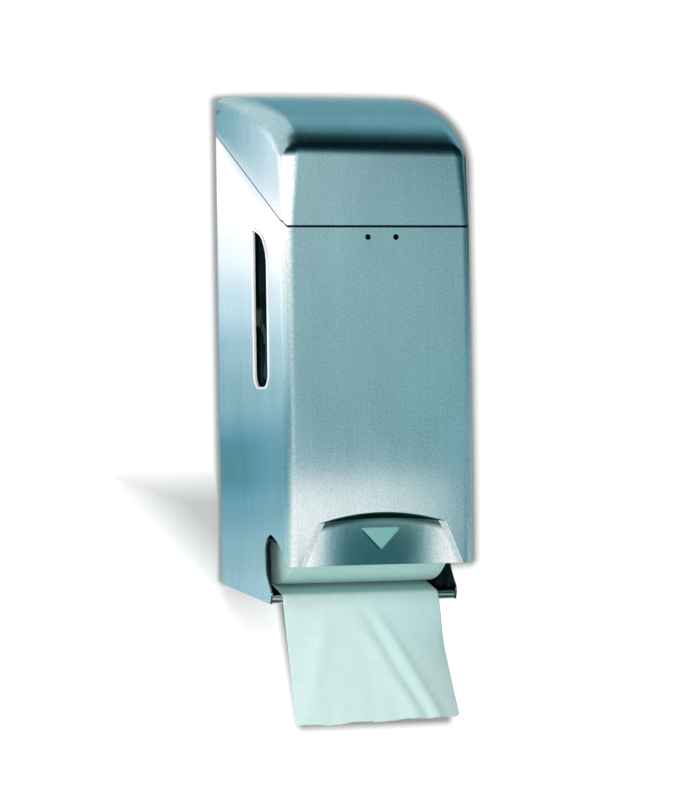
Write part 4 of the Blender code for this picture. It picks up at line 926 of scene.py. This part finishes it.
@dataclass
class WoundRoll:
    """A roll of tissue, wound on its core."""

    word: str
    axis_height: float
    axis_out: float = 0.0805
    radius: float = 0.051
    half_width: float = 0.050
    bore: float = 0.0223
    edge_round: float = 0.0011
    end_dip: float = 0.00035
    squeeze: float = 0.00022
    segments: int = 144
    ply_steps: int = 12
    round_steps: int = 3

    def profile(self) -> list[Pair]:
        """Work out the roll's section on one side of its axis.

        Returns:
            For each point: distance along the axis and radius.
        """
        points = []
        for step in range(self.ply_steps + 1):
            share = step / self.ply_steps
            radius = self.bore + (self.radius - self.edge_round - self.bore) * share
            wave = 0.5 + 0.5 * math.sin(7.0 * share + self.axis_height * 90.0)
            points.append((-self.half_width + self.end_dip * wave * share, radius))
        for step in range(1, self.round_steps + 1):
            angle = math.pi / 2.0 * step / self.round_steps
            points.append((-self.half_width + self.edge_round * (1.0 - math.cos(angle)),
                           self.radius - self.edge_round * (1.0 - math.sin(angle))))
        half = points + [(-self.half_width * share, self.radius) for share in (0.75, 0.45, 0.15)]
        return half + [(-along, radius) for along, radius in reversed(half)]

    def soften(self, vert: bmesh.types.BMVert, centre: Vector) -> None:
        """Press a point of the outer layers in a little, so that the roll isn't a lathe's.

        Args:
            vert: Point of the roll.
            centre: Middle of the roll.
        """
        arm = Vector((0.0, vert.co.y - centre.y, vert.co.z - centre.z))
        reach = arm.length
        if reach > self.bore * 1.2:
            angle = math.atan2(arm.z, arm.y)
            soft = 0.5 + 0.5 * math.sin(5.0 * angle + 40.0 * vert.co.x)
            vert.co -= arm.normalized() * self.squeeze * soft * (reach / self.radius) ** 2

    def build(self) -> None:
        """Spin the roll's section about its axis; the roll replaces its plain solid."""
        work = bmesh.new()
        centre = spot(0.0, self.axis_out, self.axis_height)
        verts = [work.verts.new(centre + Vector((along, 0.0, radius)))
                 for along, radius in self.profile()]
        edges = [work.edges.new(pair) for pair in zip(verts, verts[1:] + verts[:1])]
        bmesh.ops.spin(work, geom=verts + edges, cent=centre, axis=(1.0, 0.0, 0.0),
                       angle=math.tau, steps=self.segments, use_merge=True)
        bmesh.ops.remove_doubles(work, verts=work.verts[:], dist=0.00001)
        for vert in work.verts:
            self.soften(vert, centre)
        bmesh.ops.recalc_face_normals(work, faces=work.faces[:])
        # The rolls' tissue is darker and greener than the sheet's: painted shade of the rolls inside
        # the case.
        finish = WoundTissue(self.word + "_wound_tissue_painted_shade", (0.50, 0.79, 0.75),
                             (260.0, 1200.0, 1200.0), axis=(centre.y, centre.z)).material()
        roll = link(self.word + "_wound_roll", work, finish)
        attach(roll, self.word + "_roll")
        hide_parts(self.word + "_paper_roll")


@dataclass
class HangingTissue:
    """Free end of the paper: from under the lower roll, over the lip and down.

    Each row of FOLDS has a fold's depth, its place across, its slant and its width, as shares.
    """

    FOLDS = ((0.55, 0.42, -0.32, 0.07), (0.85, 0.53, -0.32, 0.05), (-0.55, 0.475, -0.32, 0.05),
             (0.40, 0.30, 0.25, 0.06))

    finishes: Finishes
    width: float = 0.100
    roll_out: float = 0.0805
    roll_height: float = 0.062
    roll_radius: float = 0.051
    lip_out: float = 0.0997
    lip_height: float = 0.0027
    lip_radius: float = 0.0026
    gap: float = 0.0006
    drop: float = 0.0783
    lean: float = math.radians(10.3)
    shift: float = 0.0024
    skew: float = math.radians(3.2)
    flare: float = 0.025
    spread: float = 0.0062
    edge_rise: float = 0.003
    fold: float = 0.0030
    curl: float = 3.2
    curl_from: float = 0.62
    torn: float = 0.0004
    corner_rise: float = 0.0022
    corner_share: float = 0.045
    ply: float = 0.00022
    columns: int = 150
    run_rows: int = 24
    wrap_rows: int = 14
    hang_rows: int = 130

    def path(self) -> list[tuple[float, float, float, float, float]]:
        """Middle line of the paper in the side view.

        Returns:
            For each row: out, height, normal angle, share of the way to the lip and
            share of the drop below it.
        """
        roll_reach = self.roll_radius + self.gap
        lip_reach = self.lip_radius + self.gap
        across = self.lip_out - self.roll_out
        down = self.lip_height - self.roll_height
        run_angle = math.atan2(down, across) + math.asin(
            (roll_reach + lip_reach) / math.hypot(across, down))
        normal = run_angle + math.pi / 2.0
        start = (self.roll_out - roll_reach * math.cos(normal),
                 self.roll_height - roll_reach * math.sin(normal))
        over = (self.lip_out + lip_reach * math.cos(normal),
                self.lip_height + lip_reach * math.sin(normal))
        points = []
        for step in range(self.run_rows):
            t = step / self.run_rows
            points.append((start[0] + (over[0] - start[0]) * t, start[1] + (over[1] - start[1]) * t,
                           normal, t, 0.0))
        for step in range(self.wrap_rows):
            angle = normal + (self.lean - normal) * step / self.wrap_rows
            points.append((self.lip_out + lip_reach * math.cos(angle),
                           self.lip_height + lip_reach * math.sin(angle), angle, 1.0, 0.0))
        crest = (self.lip_out + lip_reach * math.cos(self.lean),
                 self.lip_height + lip_reach * math.sin(self.lean))
        for step in range(self.hang_rows + 1):
            t = step / self.hang_rows
            points.append((crest[0] + self.drop * t * math.sin(self.lean),
                           crest[1] - self.drop * t * math.cos(self.lean), self.lean, 1.0, t))
        return points

    def fold_depth(self, across: float, down: float) -> float:
        """Depth of the soft folds at one place.

        Args:
            across: Share of the width, from the left.
            down: Share of the drop below the lip.

        Returns:
            How far the paper stands out of its plane, in metres.
        """
        folds = sum(depth * math.exp(-((across + slant * down - place) / width) ** 2)
                    for depth, place, slant, width in self.FOLDS)
        folds += 0.25 * math.sin(3.0 * math.pi * across) * down
        folds -= self.curl * (max(0.0, across - self.curl_from) / (1.0 - self.curl_from)) ** 2
        crinkle = 0.05 * math.sin(31.0 * across - 9.0 * down) * math.sin(13.0 * down + 4.0 * across)
        hem = 0.10 * math.sin(46.0 * across + 1.3) * down ** 7
        return self.fold * ((folds + crinkle) * eased(((0.0, 0.0), (0.45, 1.0)), down) + hem)

    def lift(self, across: float, down: float) -> float:
        """Rise of the torn lower end above a straight line.

        Args:
            across: Share of the width, from the left.
            down: Share of the drop below the lip.

        Returns:
            The rise, in metres, which fades quickly up the sheet.
        """
        wave = math.sin(7.0 * math.pi * across) + 0.6 * math.sin(17.0 * across + 1.0)
        teeth = 0.35 * math.sin(61.0 * across) + 0.25 * math.sin(113.0 * across + 2.0)
        corner = max(0.0, across - 1.0 + self.corner_share) / self.corner_share
        return (self.edge_rise * across * down + self.torn * (wave + teeth) * down ** 10
                + self.corner_rise * corner ** 2 * down ** 24)

    def build(self) -> None:
        """Lay a grid along the path, fold it and tear its lower edge; it replaces its solid."""
        work = bmesh.new()
        rows = self.run_rows + self.wrap_rows + self.hang_rows
        bmesh.ops.create_grid(work, x_segments=self.columns, y_segments=rows, size=0.5)
        points = self.path()
        for vert in work.verts:
            across = vert.co.x + 0.5
            out, height, normal, run, down = points[round((0.5 - vert.co.y) * rows)]
            depth = self.fold_depth(across, down)
            lift = self.lift(across, down)
            x = self.width * (across - 0.5) * (1.0 + self.flare * down)
            x += math.tan(self.skew) * self.drop * down - self.shift * run
            x += self.spread * across * down
            vert.co = spot(x, out + depth * math.cos(normal) - lift * math.sin(self.lean),
                           height + depth * math.sin(normal) + lift)
        bmesh.ops.recalc_face_normals(work, faces=work.faces[:])
        sheet = link("hanging_tissue", work, self.finishes.tissue)
        thick = sheet.modifiers.new("ply", "SOLIDIFY")
        thick.thickness = self.ply
        thick.offset = 0.0
        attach(sheet, "case")
        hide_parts("paper_sheet")


@dataclass
class CadNodes:
    """Every solid that comes from the CAD, the outside of the case included."""

    finishes: Finishes
    shading: CrispShading

    def build(self, frame: dict) -> None:
        """Give each node its finish, and its shading where the case gave none.

        Args:
            frame: The loaded frame.
        """
        slots = {part["node"]: part["material_slot"] for part in frame["record"]["subparts"]}
        for name, node in frame["nodes"].items():
            material = self.finishes.of_node(name, Slot(slots[name]))
            for slot in node.material_slots:
                slot.material = material
            if not node.modifiers and not name.endswith(("paper_roll", "paper_sheet")):
                self.shading.dress(node)
            log.info("dressed %s", name)


class Dome:
    """Tones of the half dome in front of the wall, by azimuth and rise in degrees."""

    RADIUS = 1.2
    CENTRE = Vector((0.0, -0.07, 0.0))
    ACROSS: Stops = ((10.0, 0.57), (15.0, 0.475), (22.0, 0.45), (32.0, 0.42))
    FAR_RIGHT: Stops = ((-4.0, 0.46), (1.0, 0.30), (5.0, 0.12))
    LOW_FRONT: Stops = ((-6.0, 0.62), (-1.0, 0.93), (2.0, 1.0))
    LEFT: Stops = ((-8.0, 0.90), (-5.0, 0.50), (-2.0, 0.38), (1.0, 0.52), (5.0, 0.75), (7.0, 1.1))
    RECESS: Stops = ((-4.0, 0.85), (0.0, 1.0), (3.0, 0.80), (5.0, 0.36), (7.5, 0.13), (12.0, 0.11),
                     (27.0, 0.13), (31.0, 0.16), (34.0, 0.45), (37.0, 0.82), (41.0, 1.05))
    UPWARD: Stops = ((4.0, 1.0), (8.0, 1.16), (13.0, 0.62), (20.0, 0.30), (28.0, 0.08), (36.0, 0.0))
    ROOF: Stops = ((-0.22, 0.0), (-0.13, 0.07), (-0.02, 0.19))
    ROOF_FROM = 50.0
    BROW_FROM = 8.0
    BROW_MIDDLE = 18.1
    HOOD_SHADE = 0.22

    def level(self, place: Vector) -> float:
        """Glow at one point of the dome.

        Args:
            place: The point.

        Returns:
            Its level: white at the left, fading to the right, dark overhead.
        """
        ahead = place - self.CENTRE
        azimuth = math.degrees(math.atan2(ahead.x, -ahead.y))
        rise = math.degrees(math.atan2(ahead.z, math.hypot(ahead.x, ahead.y)))
        level = eased(self.ACROSS, azimuth)
        level += eased(((32.0, 0.0), (60.0, 1.0)), azimuth) * (eased(self.FAR_RIGHT, rise) - level)
        level *= eased(self.LOW_FRONT, rise)
        level *= 1.0 - self.HOOD_SHADE * (eased(((16.0, 0.0), (22.0, 1.0)), azimuth)
                                          * eased(((5.0, 0.0), (8.0, 1.0)), rise))
        level += (eased(self.LEFT, rise) - level) * eased(((-24.0, 1.0), (9.0, 0.0)), azimuth)
        level += (eased(self.RECESS, azimuth) - level) * eased(((-12.5, 1.0), (-9.5, 0.0)), rise)
        level *= eased(self.UPWARD, self.brow_height(azimuth, rise))
        return max(level, eased(self.ROOF, place.y) if rise > self.ROOF_FROM else 0.0)

    def brow_height(self, azimuth: float, rise: float) -> float:
        """Rise that counts for the fade upwards, which starts lower at the left.

        Args:
            azimuth: Degrees to the right of straight ahead.
            rise: Degrees above the horizon.

        Returns:
            The rise, tilted above the start of the fade.
        """
        if rise < self.BROW_FROM:
            return rise
        tilt = max(-6.0, min(12.0, 3.5 * (self.BROW_MIDDLE - azimuth)))
        return max(self.BROW_FROM, rise - tilt * eased(((-12.0, 0.3), (5.0, 1.0)), azimuth))


class Cards:
    """Tones of the flat reflector cards, by place in the frame."""

    FLANK_FRONT: Stops = (
        (-0.128, 0.95), (-0.1125, 0.87), (-0.097, 0.72), (-0.081, 0.52), (-0.060, 0.24),
        (-0.045, 0.30), (0.0, 0.60), (0.0625, 0.85), (0.075, 1.1))
    FLANK_REAR: Stops = (
        (-0.128, 0.64), (-0.1125, 0.56), (-0.097, 0.42), (-0.081, 0.26), (-0.056, 0.31),
        (0.0, 0.66), (0.0625, 0.95), (0.075, 1.1))
    BESIDE: Stops = (
        (-0.15, 0.53), (-0.125, 0.46), (-0.10, 0.32), (-0.08, 0.24), (-0.062, 0.24),
        (-0.031, 0.46), (0.0, 0.54), (0.03, 0.69), (0.0625, 0.87), (0.10, 1.05))
    BESIDE_REAR: Stops = ((-0.105, 0.07), (-0.075, 0.0))
    BESIDE_HOOD: Stops = ((-0.106, 0.85), (-0.100, 0.66), (-0.092, 0.55), (-0.062, 0.40))
    HOOD_FOOT: Stops = ((0.075, 0.2), (0.10, 0.0))
    SEAM_REAR = 0.137
    SEAM_SLOPE = 1.434
    ABOVE: Stops = ((0.163, 0.50), (0.176, 0.25), (0.36, 0.33), (0.50, 0.30), (0.95, 0.17))
    ABOVE_LEFT = 0.62
    NEAR: Stops = ((-0.04, 0.90), (0.02, 0.89), (0.068, 0.80), (0.10, 0.70))
    LEFT: Stops = ((-0.150, 0.70), (-0.128, 0.645), (-0.1125, 0.566), (-0.097, 0.43),
                   (-0.081, 0.31), (-0.056, 0.36), (0.0, 0.69), (0.0625, 0.95))
    RIGHT: Stops = ((-0.05, 0.42), (0.03, 0.26), (0.08, 0.08))
    BELOW = 0.06

    def flank(self, place: Vector) -> float:
        """Glow of the card at the case's left shoulder, which its front corner mirrors."""
        rear = eased(self.FLANK_REAR, place.z)
        forward = eased(((-0.26, 1.0), (-0.12, 0.0)), place.y)
        return rear + (eased(self.FLANK_FRONT, place.z) - rear) * forward

    def beside(self, place: Vector) -> float:
        """Glow of the card beside the case, which has another tone above the hood's seam.

        Args:
            place: A point of the card.

        Returns:
            Its level, lower in a band below the middle.
        """
        level = eased(self.BESIDE, place.z) + eased(self.BESIDE_REAR, place.x)
        hood = eased(self.BESIDE_HOOD, place.x) + eased(self.HOOD_FOOT, place.z)
        seam = self.SEAM_REAR + self.SEAM_SLOPE * (place.x + 0.06)
        return level + (hood - level) * eased(((seam - 0.002, 0.0), (seam + 0.004, 1.0)), place.z)

    def above(self, place: Vector) -> float:
        """Glow of the card above the case: a blue dusk that fades upwards."""
        level = eased(self.ABOVE, place.z)
        return level + (self.ABOVE_LEFT - level) * eased(((-0.065, 1.0), (-0.03, 0.0)), place.x)

    def near(self, place: Vector) -> float:
        """Glow of the low card in front of the case."""
        return eased(self.NEAR, place.x)

    def left(self, place: Vector) -> float:
        """Glow of the card far beside the case, with a darker band below the middle."""
        return eased(self.LEFT, place.z)

    def right(self, place: Vector) -> float:
        """Glow of the card to the right of the case, dark beside the hood."""
        return eased(self.RIGHT, place.z)

    def below(self, place: Vector) -> float:
        """Glow of the card under the case."""
        return self.BELOW


@dataclass(frozen=True)
class Panel:
    """Flat rectangle, given by its middle and its two sides."""

    name: str
    middle: Triple
    across: Triple
    up: Triple
    steps: tuple[int, int] = (1, 1)

    def mesh(self) -> bmesh.types.BMesh:
        """Lay out the grid.

        Returns:
            The mesh, which faces across times up.
        """
        work = bmesh.new()
        bmesh.ops.create_grid(work, x_segments=self.steps[0], y_segments=self.steps[1], size=0.5)
        middle, across, up = Vector(self.middle), Vector(self.across), Vector(self.up)
        for vert in work.verts:
            vert.co = middle + across * vert.co.x + up * vert.co.y
        return work


@dataclass(frozen=True)
class Outline:
    """Rounded box on the wall, from its low to its high corner in X and Z."""

    low: Pair
    high: Pair
    radius: float
    lean: float = 0.0


@dataclass(frozen=True)
class Wall:
    """White finish of the wall and the floor, with shadows painted for the photo's camera."""

    glow: float = 0.75
    light: Colour = (0.80, 0.80, 0.80)
    dark: Colour = (0.46, 0.46, 0.46)
    dark_from: float = 0.15
    halo_reach: float = 0.0075
    halo_power: float = 1.5
    wedge_top: Pair = (-0.0955, -0.0670)
    wedge_slope: float = 1.062
    wedge_low: Pair = (-0.233, -0.180)
    wedge_right: Pair = (-0.055, -0.02)
    wedge_power: float = 0.6
    wedge_share: float = 0.85
    outlines: tuple[Outline, ...] = (
        Outline((-0.0605, -0.146), (0.05, 0.1595), 0.003),
        Outline((-0.02, 0.0), (0.1105, 0.1595), 0.044),
        Outline((0.0, -0.137), (0.1105, 0.09), 0.003),
        Outline((-0.03, -0.157), (0.085, -0.1), 0.002),
        Outline((-0.0432, -0.2385), (0.0565, -0.15), 0.002, 0.148))

    def wedge(self, board: NodeBoard) -> Socket:
        """Slanted patch of shadow at the lower left.

        Args:
            board: Material of the wall.

        Returns:
            The shadow's strength.
        """
        x, _, z = board.axes()
        top = board.ranged(z, *self.wedge_top, 1.0, 0.0)
        slant = board.math("ADD", z, board.math("MULTIPLY", x, self.wedge_slope))
        low = board.ranged(slant, *self.wedge_low, 0.0, 1.0)
        right = board.ranged(x, *self.wedge_right, 1.0, 0.0)
        patch = board.math("MULTIPLY", board.math("MINIMUM", top, low), right)
        return board.math("MULTIPLY", board.math("POWER", patch, self.wedge_power),
                          self.wedge_share)

    def halo(self, board: NodeBoard, outline: Outline) -> Socket:
        """Soft contact shadow on the wall round one outline.

        Args:
            board: Material of the wall.
            outline: Rounded box that the shadow follows.

        Returns:
            The shadow's strength, fading outwards.
        """
        x, _, z = board.axes()
        x = board.math("ADD", x, board.math("MULTIPLY", z, outline.lean))
        squares = []
        for socket, low, high in zip((x, z), outline.low, outline.high):
            apart = board.math("ABSOLUTE", board.math("SUBTRACT", socket, (low + high) / 2.0))
            reach = (high - low) / 2.0 - outline.radius
            past = board.math("MAXIMUM", board.math("SUBTRACT", apart, reach), 0.0)
            squares.append(board.math("MULTIPLY", past, past))
        root = board.math("SQRT", board.math("ADD", *squares))
        distance = board.math("SUBTRACT", root, outline.radius)
        return board.math("POWER", board.ranged(distance, 0.0, self.halo_reach, 1.0, 0.0),
                          self.halo_power)

    def material(self) -> bpy.types.Material:
        """Build the finish, which keeps the object's shadow and shows nothing from behind.

        Returns:
            The material of the wall and the floor.
        """
        board = NodeBoard.fresh("white_stage")
        shadows = [self.wedge(board)] + [self.halo(board, outline) for outline in self.outlines]
        dark = board.ranged(board.chain("MAXIMUM", shadows), 0.0, 1.0, self.dark_from, 1.0)
        strength = board.math("MULTIPLY", board.seen(),
                              board.ranged(dark, 0.0, 1.0, self.glow, 0.0))
        glowing = board.add("Emission", {"Color": (*WHITE, 1.0), "Strength": strength})
        lit = board.add("BsdfDiffuse", {"Color": board.blend(dark, self.light, self.dark)})
        both = board.add("AddShader", {0: lit.outputs[0], 1: glowing.outputs[0]})
        clear = board.add("BsdfTransparent")
        back = board.add("NewGeometry").outputs["Backfacing"]
        return board.surface(board.add("MixShader", {0: back, 1: both.outputs[0],
                                                     2: clear.outputs[0]}))


@dataclass(frozen=True)
class Lamp:
    """A square lamp that faces a place and that glossy surfaces don't see."""

    name: str
    place: Triple
    target: Triple
    size: float
    power: float

    def build(self) -> None:
        """Hang the lamp."""
        light = bpy.data.lights.new(self.name, "AREA")
        light.size = self.size
        light.energy = self.power
        lamp = bpy.data.objects.new(self.name, light)
        ahead = Vector(self.target) - Vector(self.place)
        lamp.matrix_world = (Matrix.Translation(self.place)
                             @ ahead.to_track_quat("-Z", "Y").to_matrix().to_4x4())
        lamp.visible_glossy = False
        bpy.context.scene.collection.objects.link(lamp)


@dataclass(frozen=True)
class PhotoCamera:
    """Camera at the photograph's place: 18.6 degrees to the left, level with the case."""

    turn: float = 0.324280
    roll: float = 0.013819
    lens: float = 179.08
    sensor: float = 36.0
    aim: Triple = (0.0, -0.069, -0.03185)
    distance: float = 2.46176
    shift: float = 0.000378

    def build(self) -> None:
        """Set up the camera and make it the scene's."""
        right = Vector((math.cos(self.turn), -math.sin(self.turn), 0.0))
        toward = Vector((-math.sin(self.turn), -math.cos(self.turn), 0.0))
        up = Vector((0.0, 0.0, 1.0))
        across = right * math.cos(self.roll) - up * math.sin(self.roll)
        rise = right * math.sin(self.roll) + up * math.cos(self.roll)
        data = bpy.data.cameras.new("photo_camera")
        data.lens = self.lens
        data.sensor_width = self.sensor
        camera = bpy.data.objects.new("photo_camera", data)
        place = Vector(self.aim) + toward * self.distance - right * self.shift
        turned = Matrix((across, rise, toward)).transposed().to_4x4()
        camera.matrix_world = Matrix.Translation(place) @ turned
        bpy.context.scene.collection.objects.link(camera)
        bpy.context.scene.camera = camera


@dataclass
class Studio:
    """White wall and floor, soft lamps, reflector cards for the steel, and the camera."""

    wall_gap: float = 0.0025
    floor_drop: float = 0.62
    stage_size: float = 8.0
    card_gap: float = 0.0012
    card_foot: float = -0.31
    side_tint: Colour = (1.0, 1.05, 1.13)
    world_light: float = 0.45
    lamps: tuple[Lamp, ...] = (
        Lamp("key_lamp", (-0.60, -1.9, 1.30), (0.0, -0.10, -0.02), 0.35, 10.0),
        Lamp("front_lamp", (-0.80, -2.3, -0.2), (0.0, -0.07, 0.0), 0.8, 17.0),
        Lamp("left_lamp", (-1.9, -1.1, 0.0), (-0.06, -0.08, -0.05), 0.9, 9.0))

    def card_finish(self) -> bpy.types.Material:
        """Build the glow of the reflector cards, from their own painted tones.

        Returns:
            The material.
        """
        board = NodeBoard.fresh("reflector_card")
        tone = board.add("Attribute", attribute_name="tone").outputs["Color"]
        board.owner.cycles.emission_sampling = "NONE"
        return board.surface(board.add("Emission", {"Color": tone, "Strength": 1.0}))

    def card(self, name: str, work: bmesh.types.BMesh, level_at: Callable[[Vector], float],
             tint: Colour = WHITE) -> None:
        """Paint a reflector card that only glossy surfaces see.

        Args:
            name: Name of the card.
            work: Its mesh.
            level_at: Function from a place to a level of glow.
            tint: Colour that the glow is multiplied by.
        """
        layer = work.verts.layers.float_color.new("tone")
        for vert in work.verts:
            tone = (part * share for part, share in zip(glow(level_at(vert.co)), tint))
            vert[layer] = (*tone, 1.0)
        card = link(name, work, self.card_material)
        card.visible_camera = False
        card.visible_diffuse = False
        card.visible_transmission = False
        card.visible_shadow = False

    def wall_panel(self, name: str, left: float, right: float, foot: float, top: float) -> Panel:
        """Place a card just in front of the wall.

        Args:
            name: Name of the card.
            left: Its left end.
            right: Its right end.
            foot: Its lower edge.
            top: Its upper edge.

        Returns:
            The card's rectangle.
        """
        return Panel(name, ((left + right) / 2.0, self.card_gap, (foot + top) / 2.0),
                     (right - left, 0.0, 0.0), (0.0, 0.0, top - foot), (90, 150))

    def dome_mesh(self) -> bmesh.types.BMesh:
        """Cut the half dome out of a ball, in front of the wall and above the lowest card.

        Returns:
            The mesh.
        """
        dome = bmesh.new()
        bmesh.ops.create_uvsphere(dome, u_segments=180, v_segments=120, radius=Dome.RADIUS)
        bmesh.ops.translate(dome, verts=dome.verts[:], vec=Dome.CENTRE)
        for point, way in (((0.0, self.card_gap, 0.0), (0.0, 1.0, 0.0)),
                           ((0.0, 0.0, -0.5), (0.0, 0.0, -1.0))):
            bmesh.ops.bisect_plane(dome, geom=dome.verts[:] + dome.edges[:] + dome.faces[:],
                                   plane_co=point, plane_no=way, clear_outer=True)
        return dome

    def stage(self) -> None:
        """Put up the wall and the floor."""
        white = Wall().material()
        size = self.stage_size
        across, half = (size, 0.0, 0.0), size / 2.0
        for panel in (
                Panel("studio_wall", (0.0, self.wall_gap, half - self.floor_drop), across,
                      (0.0, 0.0, size)),
                Panel("studio_floor", (0.0, self.wall_gap - half, -self.floor_drop), across,
                      (0.0, size, 0.0))):
            link(panel.name, panel.mesh(), white, False)

    def reflectors(self) -> None:
        """Put up the dome and the cards that the steel mirrors."""
        self.card_material = self.card_finish()
        self.card("reflector_dome", self.dome_mesh(), Dome().level)
        tones, foot = Cards(), self.card_foot
        for panel, level_at, tint in (
                (Panel("reflector_below", (0.0, -1.2, -0.46), (2.4, 0.0, 0.0), (0.0, 2.4, 0.0),
                       (4, 4)), tones.below, WHITE),
                (Panel("reflector_near", (-0.075, -0.30, -0.111), (0.350, 0.0, 0.0),
                       (0.0, 0.0, 0.056), (40, 4)), tones.near, WHITE),
                (Panel("reflector_flank", (-0.22, -0.235, -0.088), (0.0, 0.430, 0.0),
                       (0.0, 0.0, 0.425), (60, 90)), tones.flank, WHITE),
                (self.wall_panel("reflector_beside", -0.161, -0.061, foot, 0.166), tones.beside,
                 self.side_tint),
                (self.wall_panel("reflector_left", -1.1, -0.161, foot, 0.166), tones.left,
                 self.side_tint),
                (self.wall_panel("reflector_above", -0.60, 1.0, 0.1605, 1.1), tones.above, WHITE),
                (self.wall_panel("reflector_right", 0.061, 1.1, foot, 0.1605), tones.right, WHITE)):
            self.card(panel.name, panel.mesh(), level_at, tint)

    def world(self) -> None:
        """White world: full strength where it is seen, softer as a light."""
        world = bpy.data.worlds.new("studio_world")
        bpy.context.scene.world = world
        board = NodeBoard(world, "OutputWorld")
        level = board.ranged(board.seen(), 0.0, 1.0, self.world_light, 1.0)
        board.surface(board.add("Background", {"Color": (*WHITE, 1.0), "Strength": level}))

    def build(self) -> None:
        """Make the stage, the cards, the lamps, the world and the camera."""
        self.stage()
        self.reflectors()
        for lamp in self.lamps:
            lamp.build()
        self.world()
        PhotoCamera().build()


def main() -> None:
    """Build the dispenser's looks, sub-assembly by sub-assembly."""
    logging.basicConfig(level=logging.INFO, format="%(message)s")
    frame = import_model()
    bpy.context.scene.view_settings.view_transform = "Standard"
    finishes = Finishes()
    shading = CrispShading("crisp_shading")
    Studio().build()
    log.info("studio")
    SteelCase(finishes, shading).build(frame)
    for word, height in (("lower", 0.062), ("reserve", 0.174)):
        WoundRoll(word, height).build()
        log.info("%s roll", word)
    HangingTissue(finishes).build()
    log.info("hanging tissue")
    CadNodes(finishes, shading).build(frame)


if __name__ == "__main__":
    main()
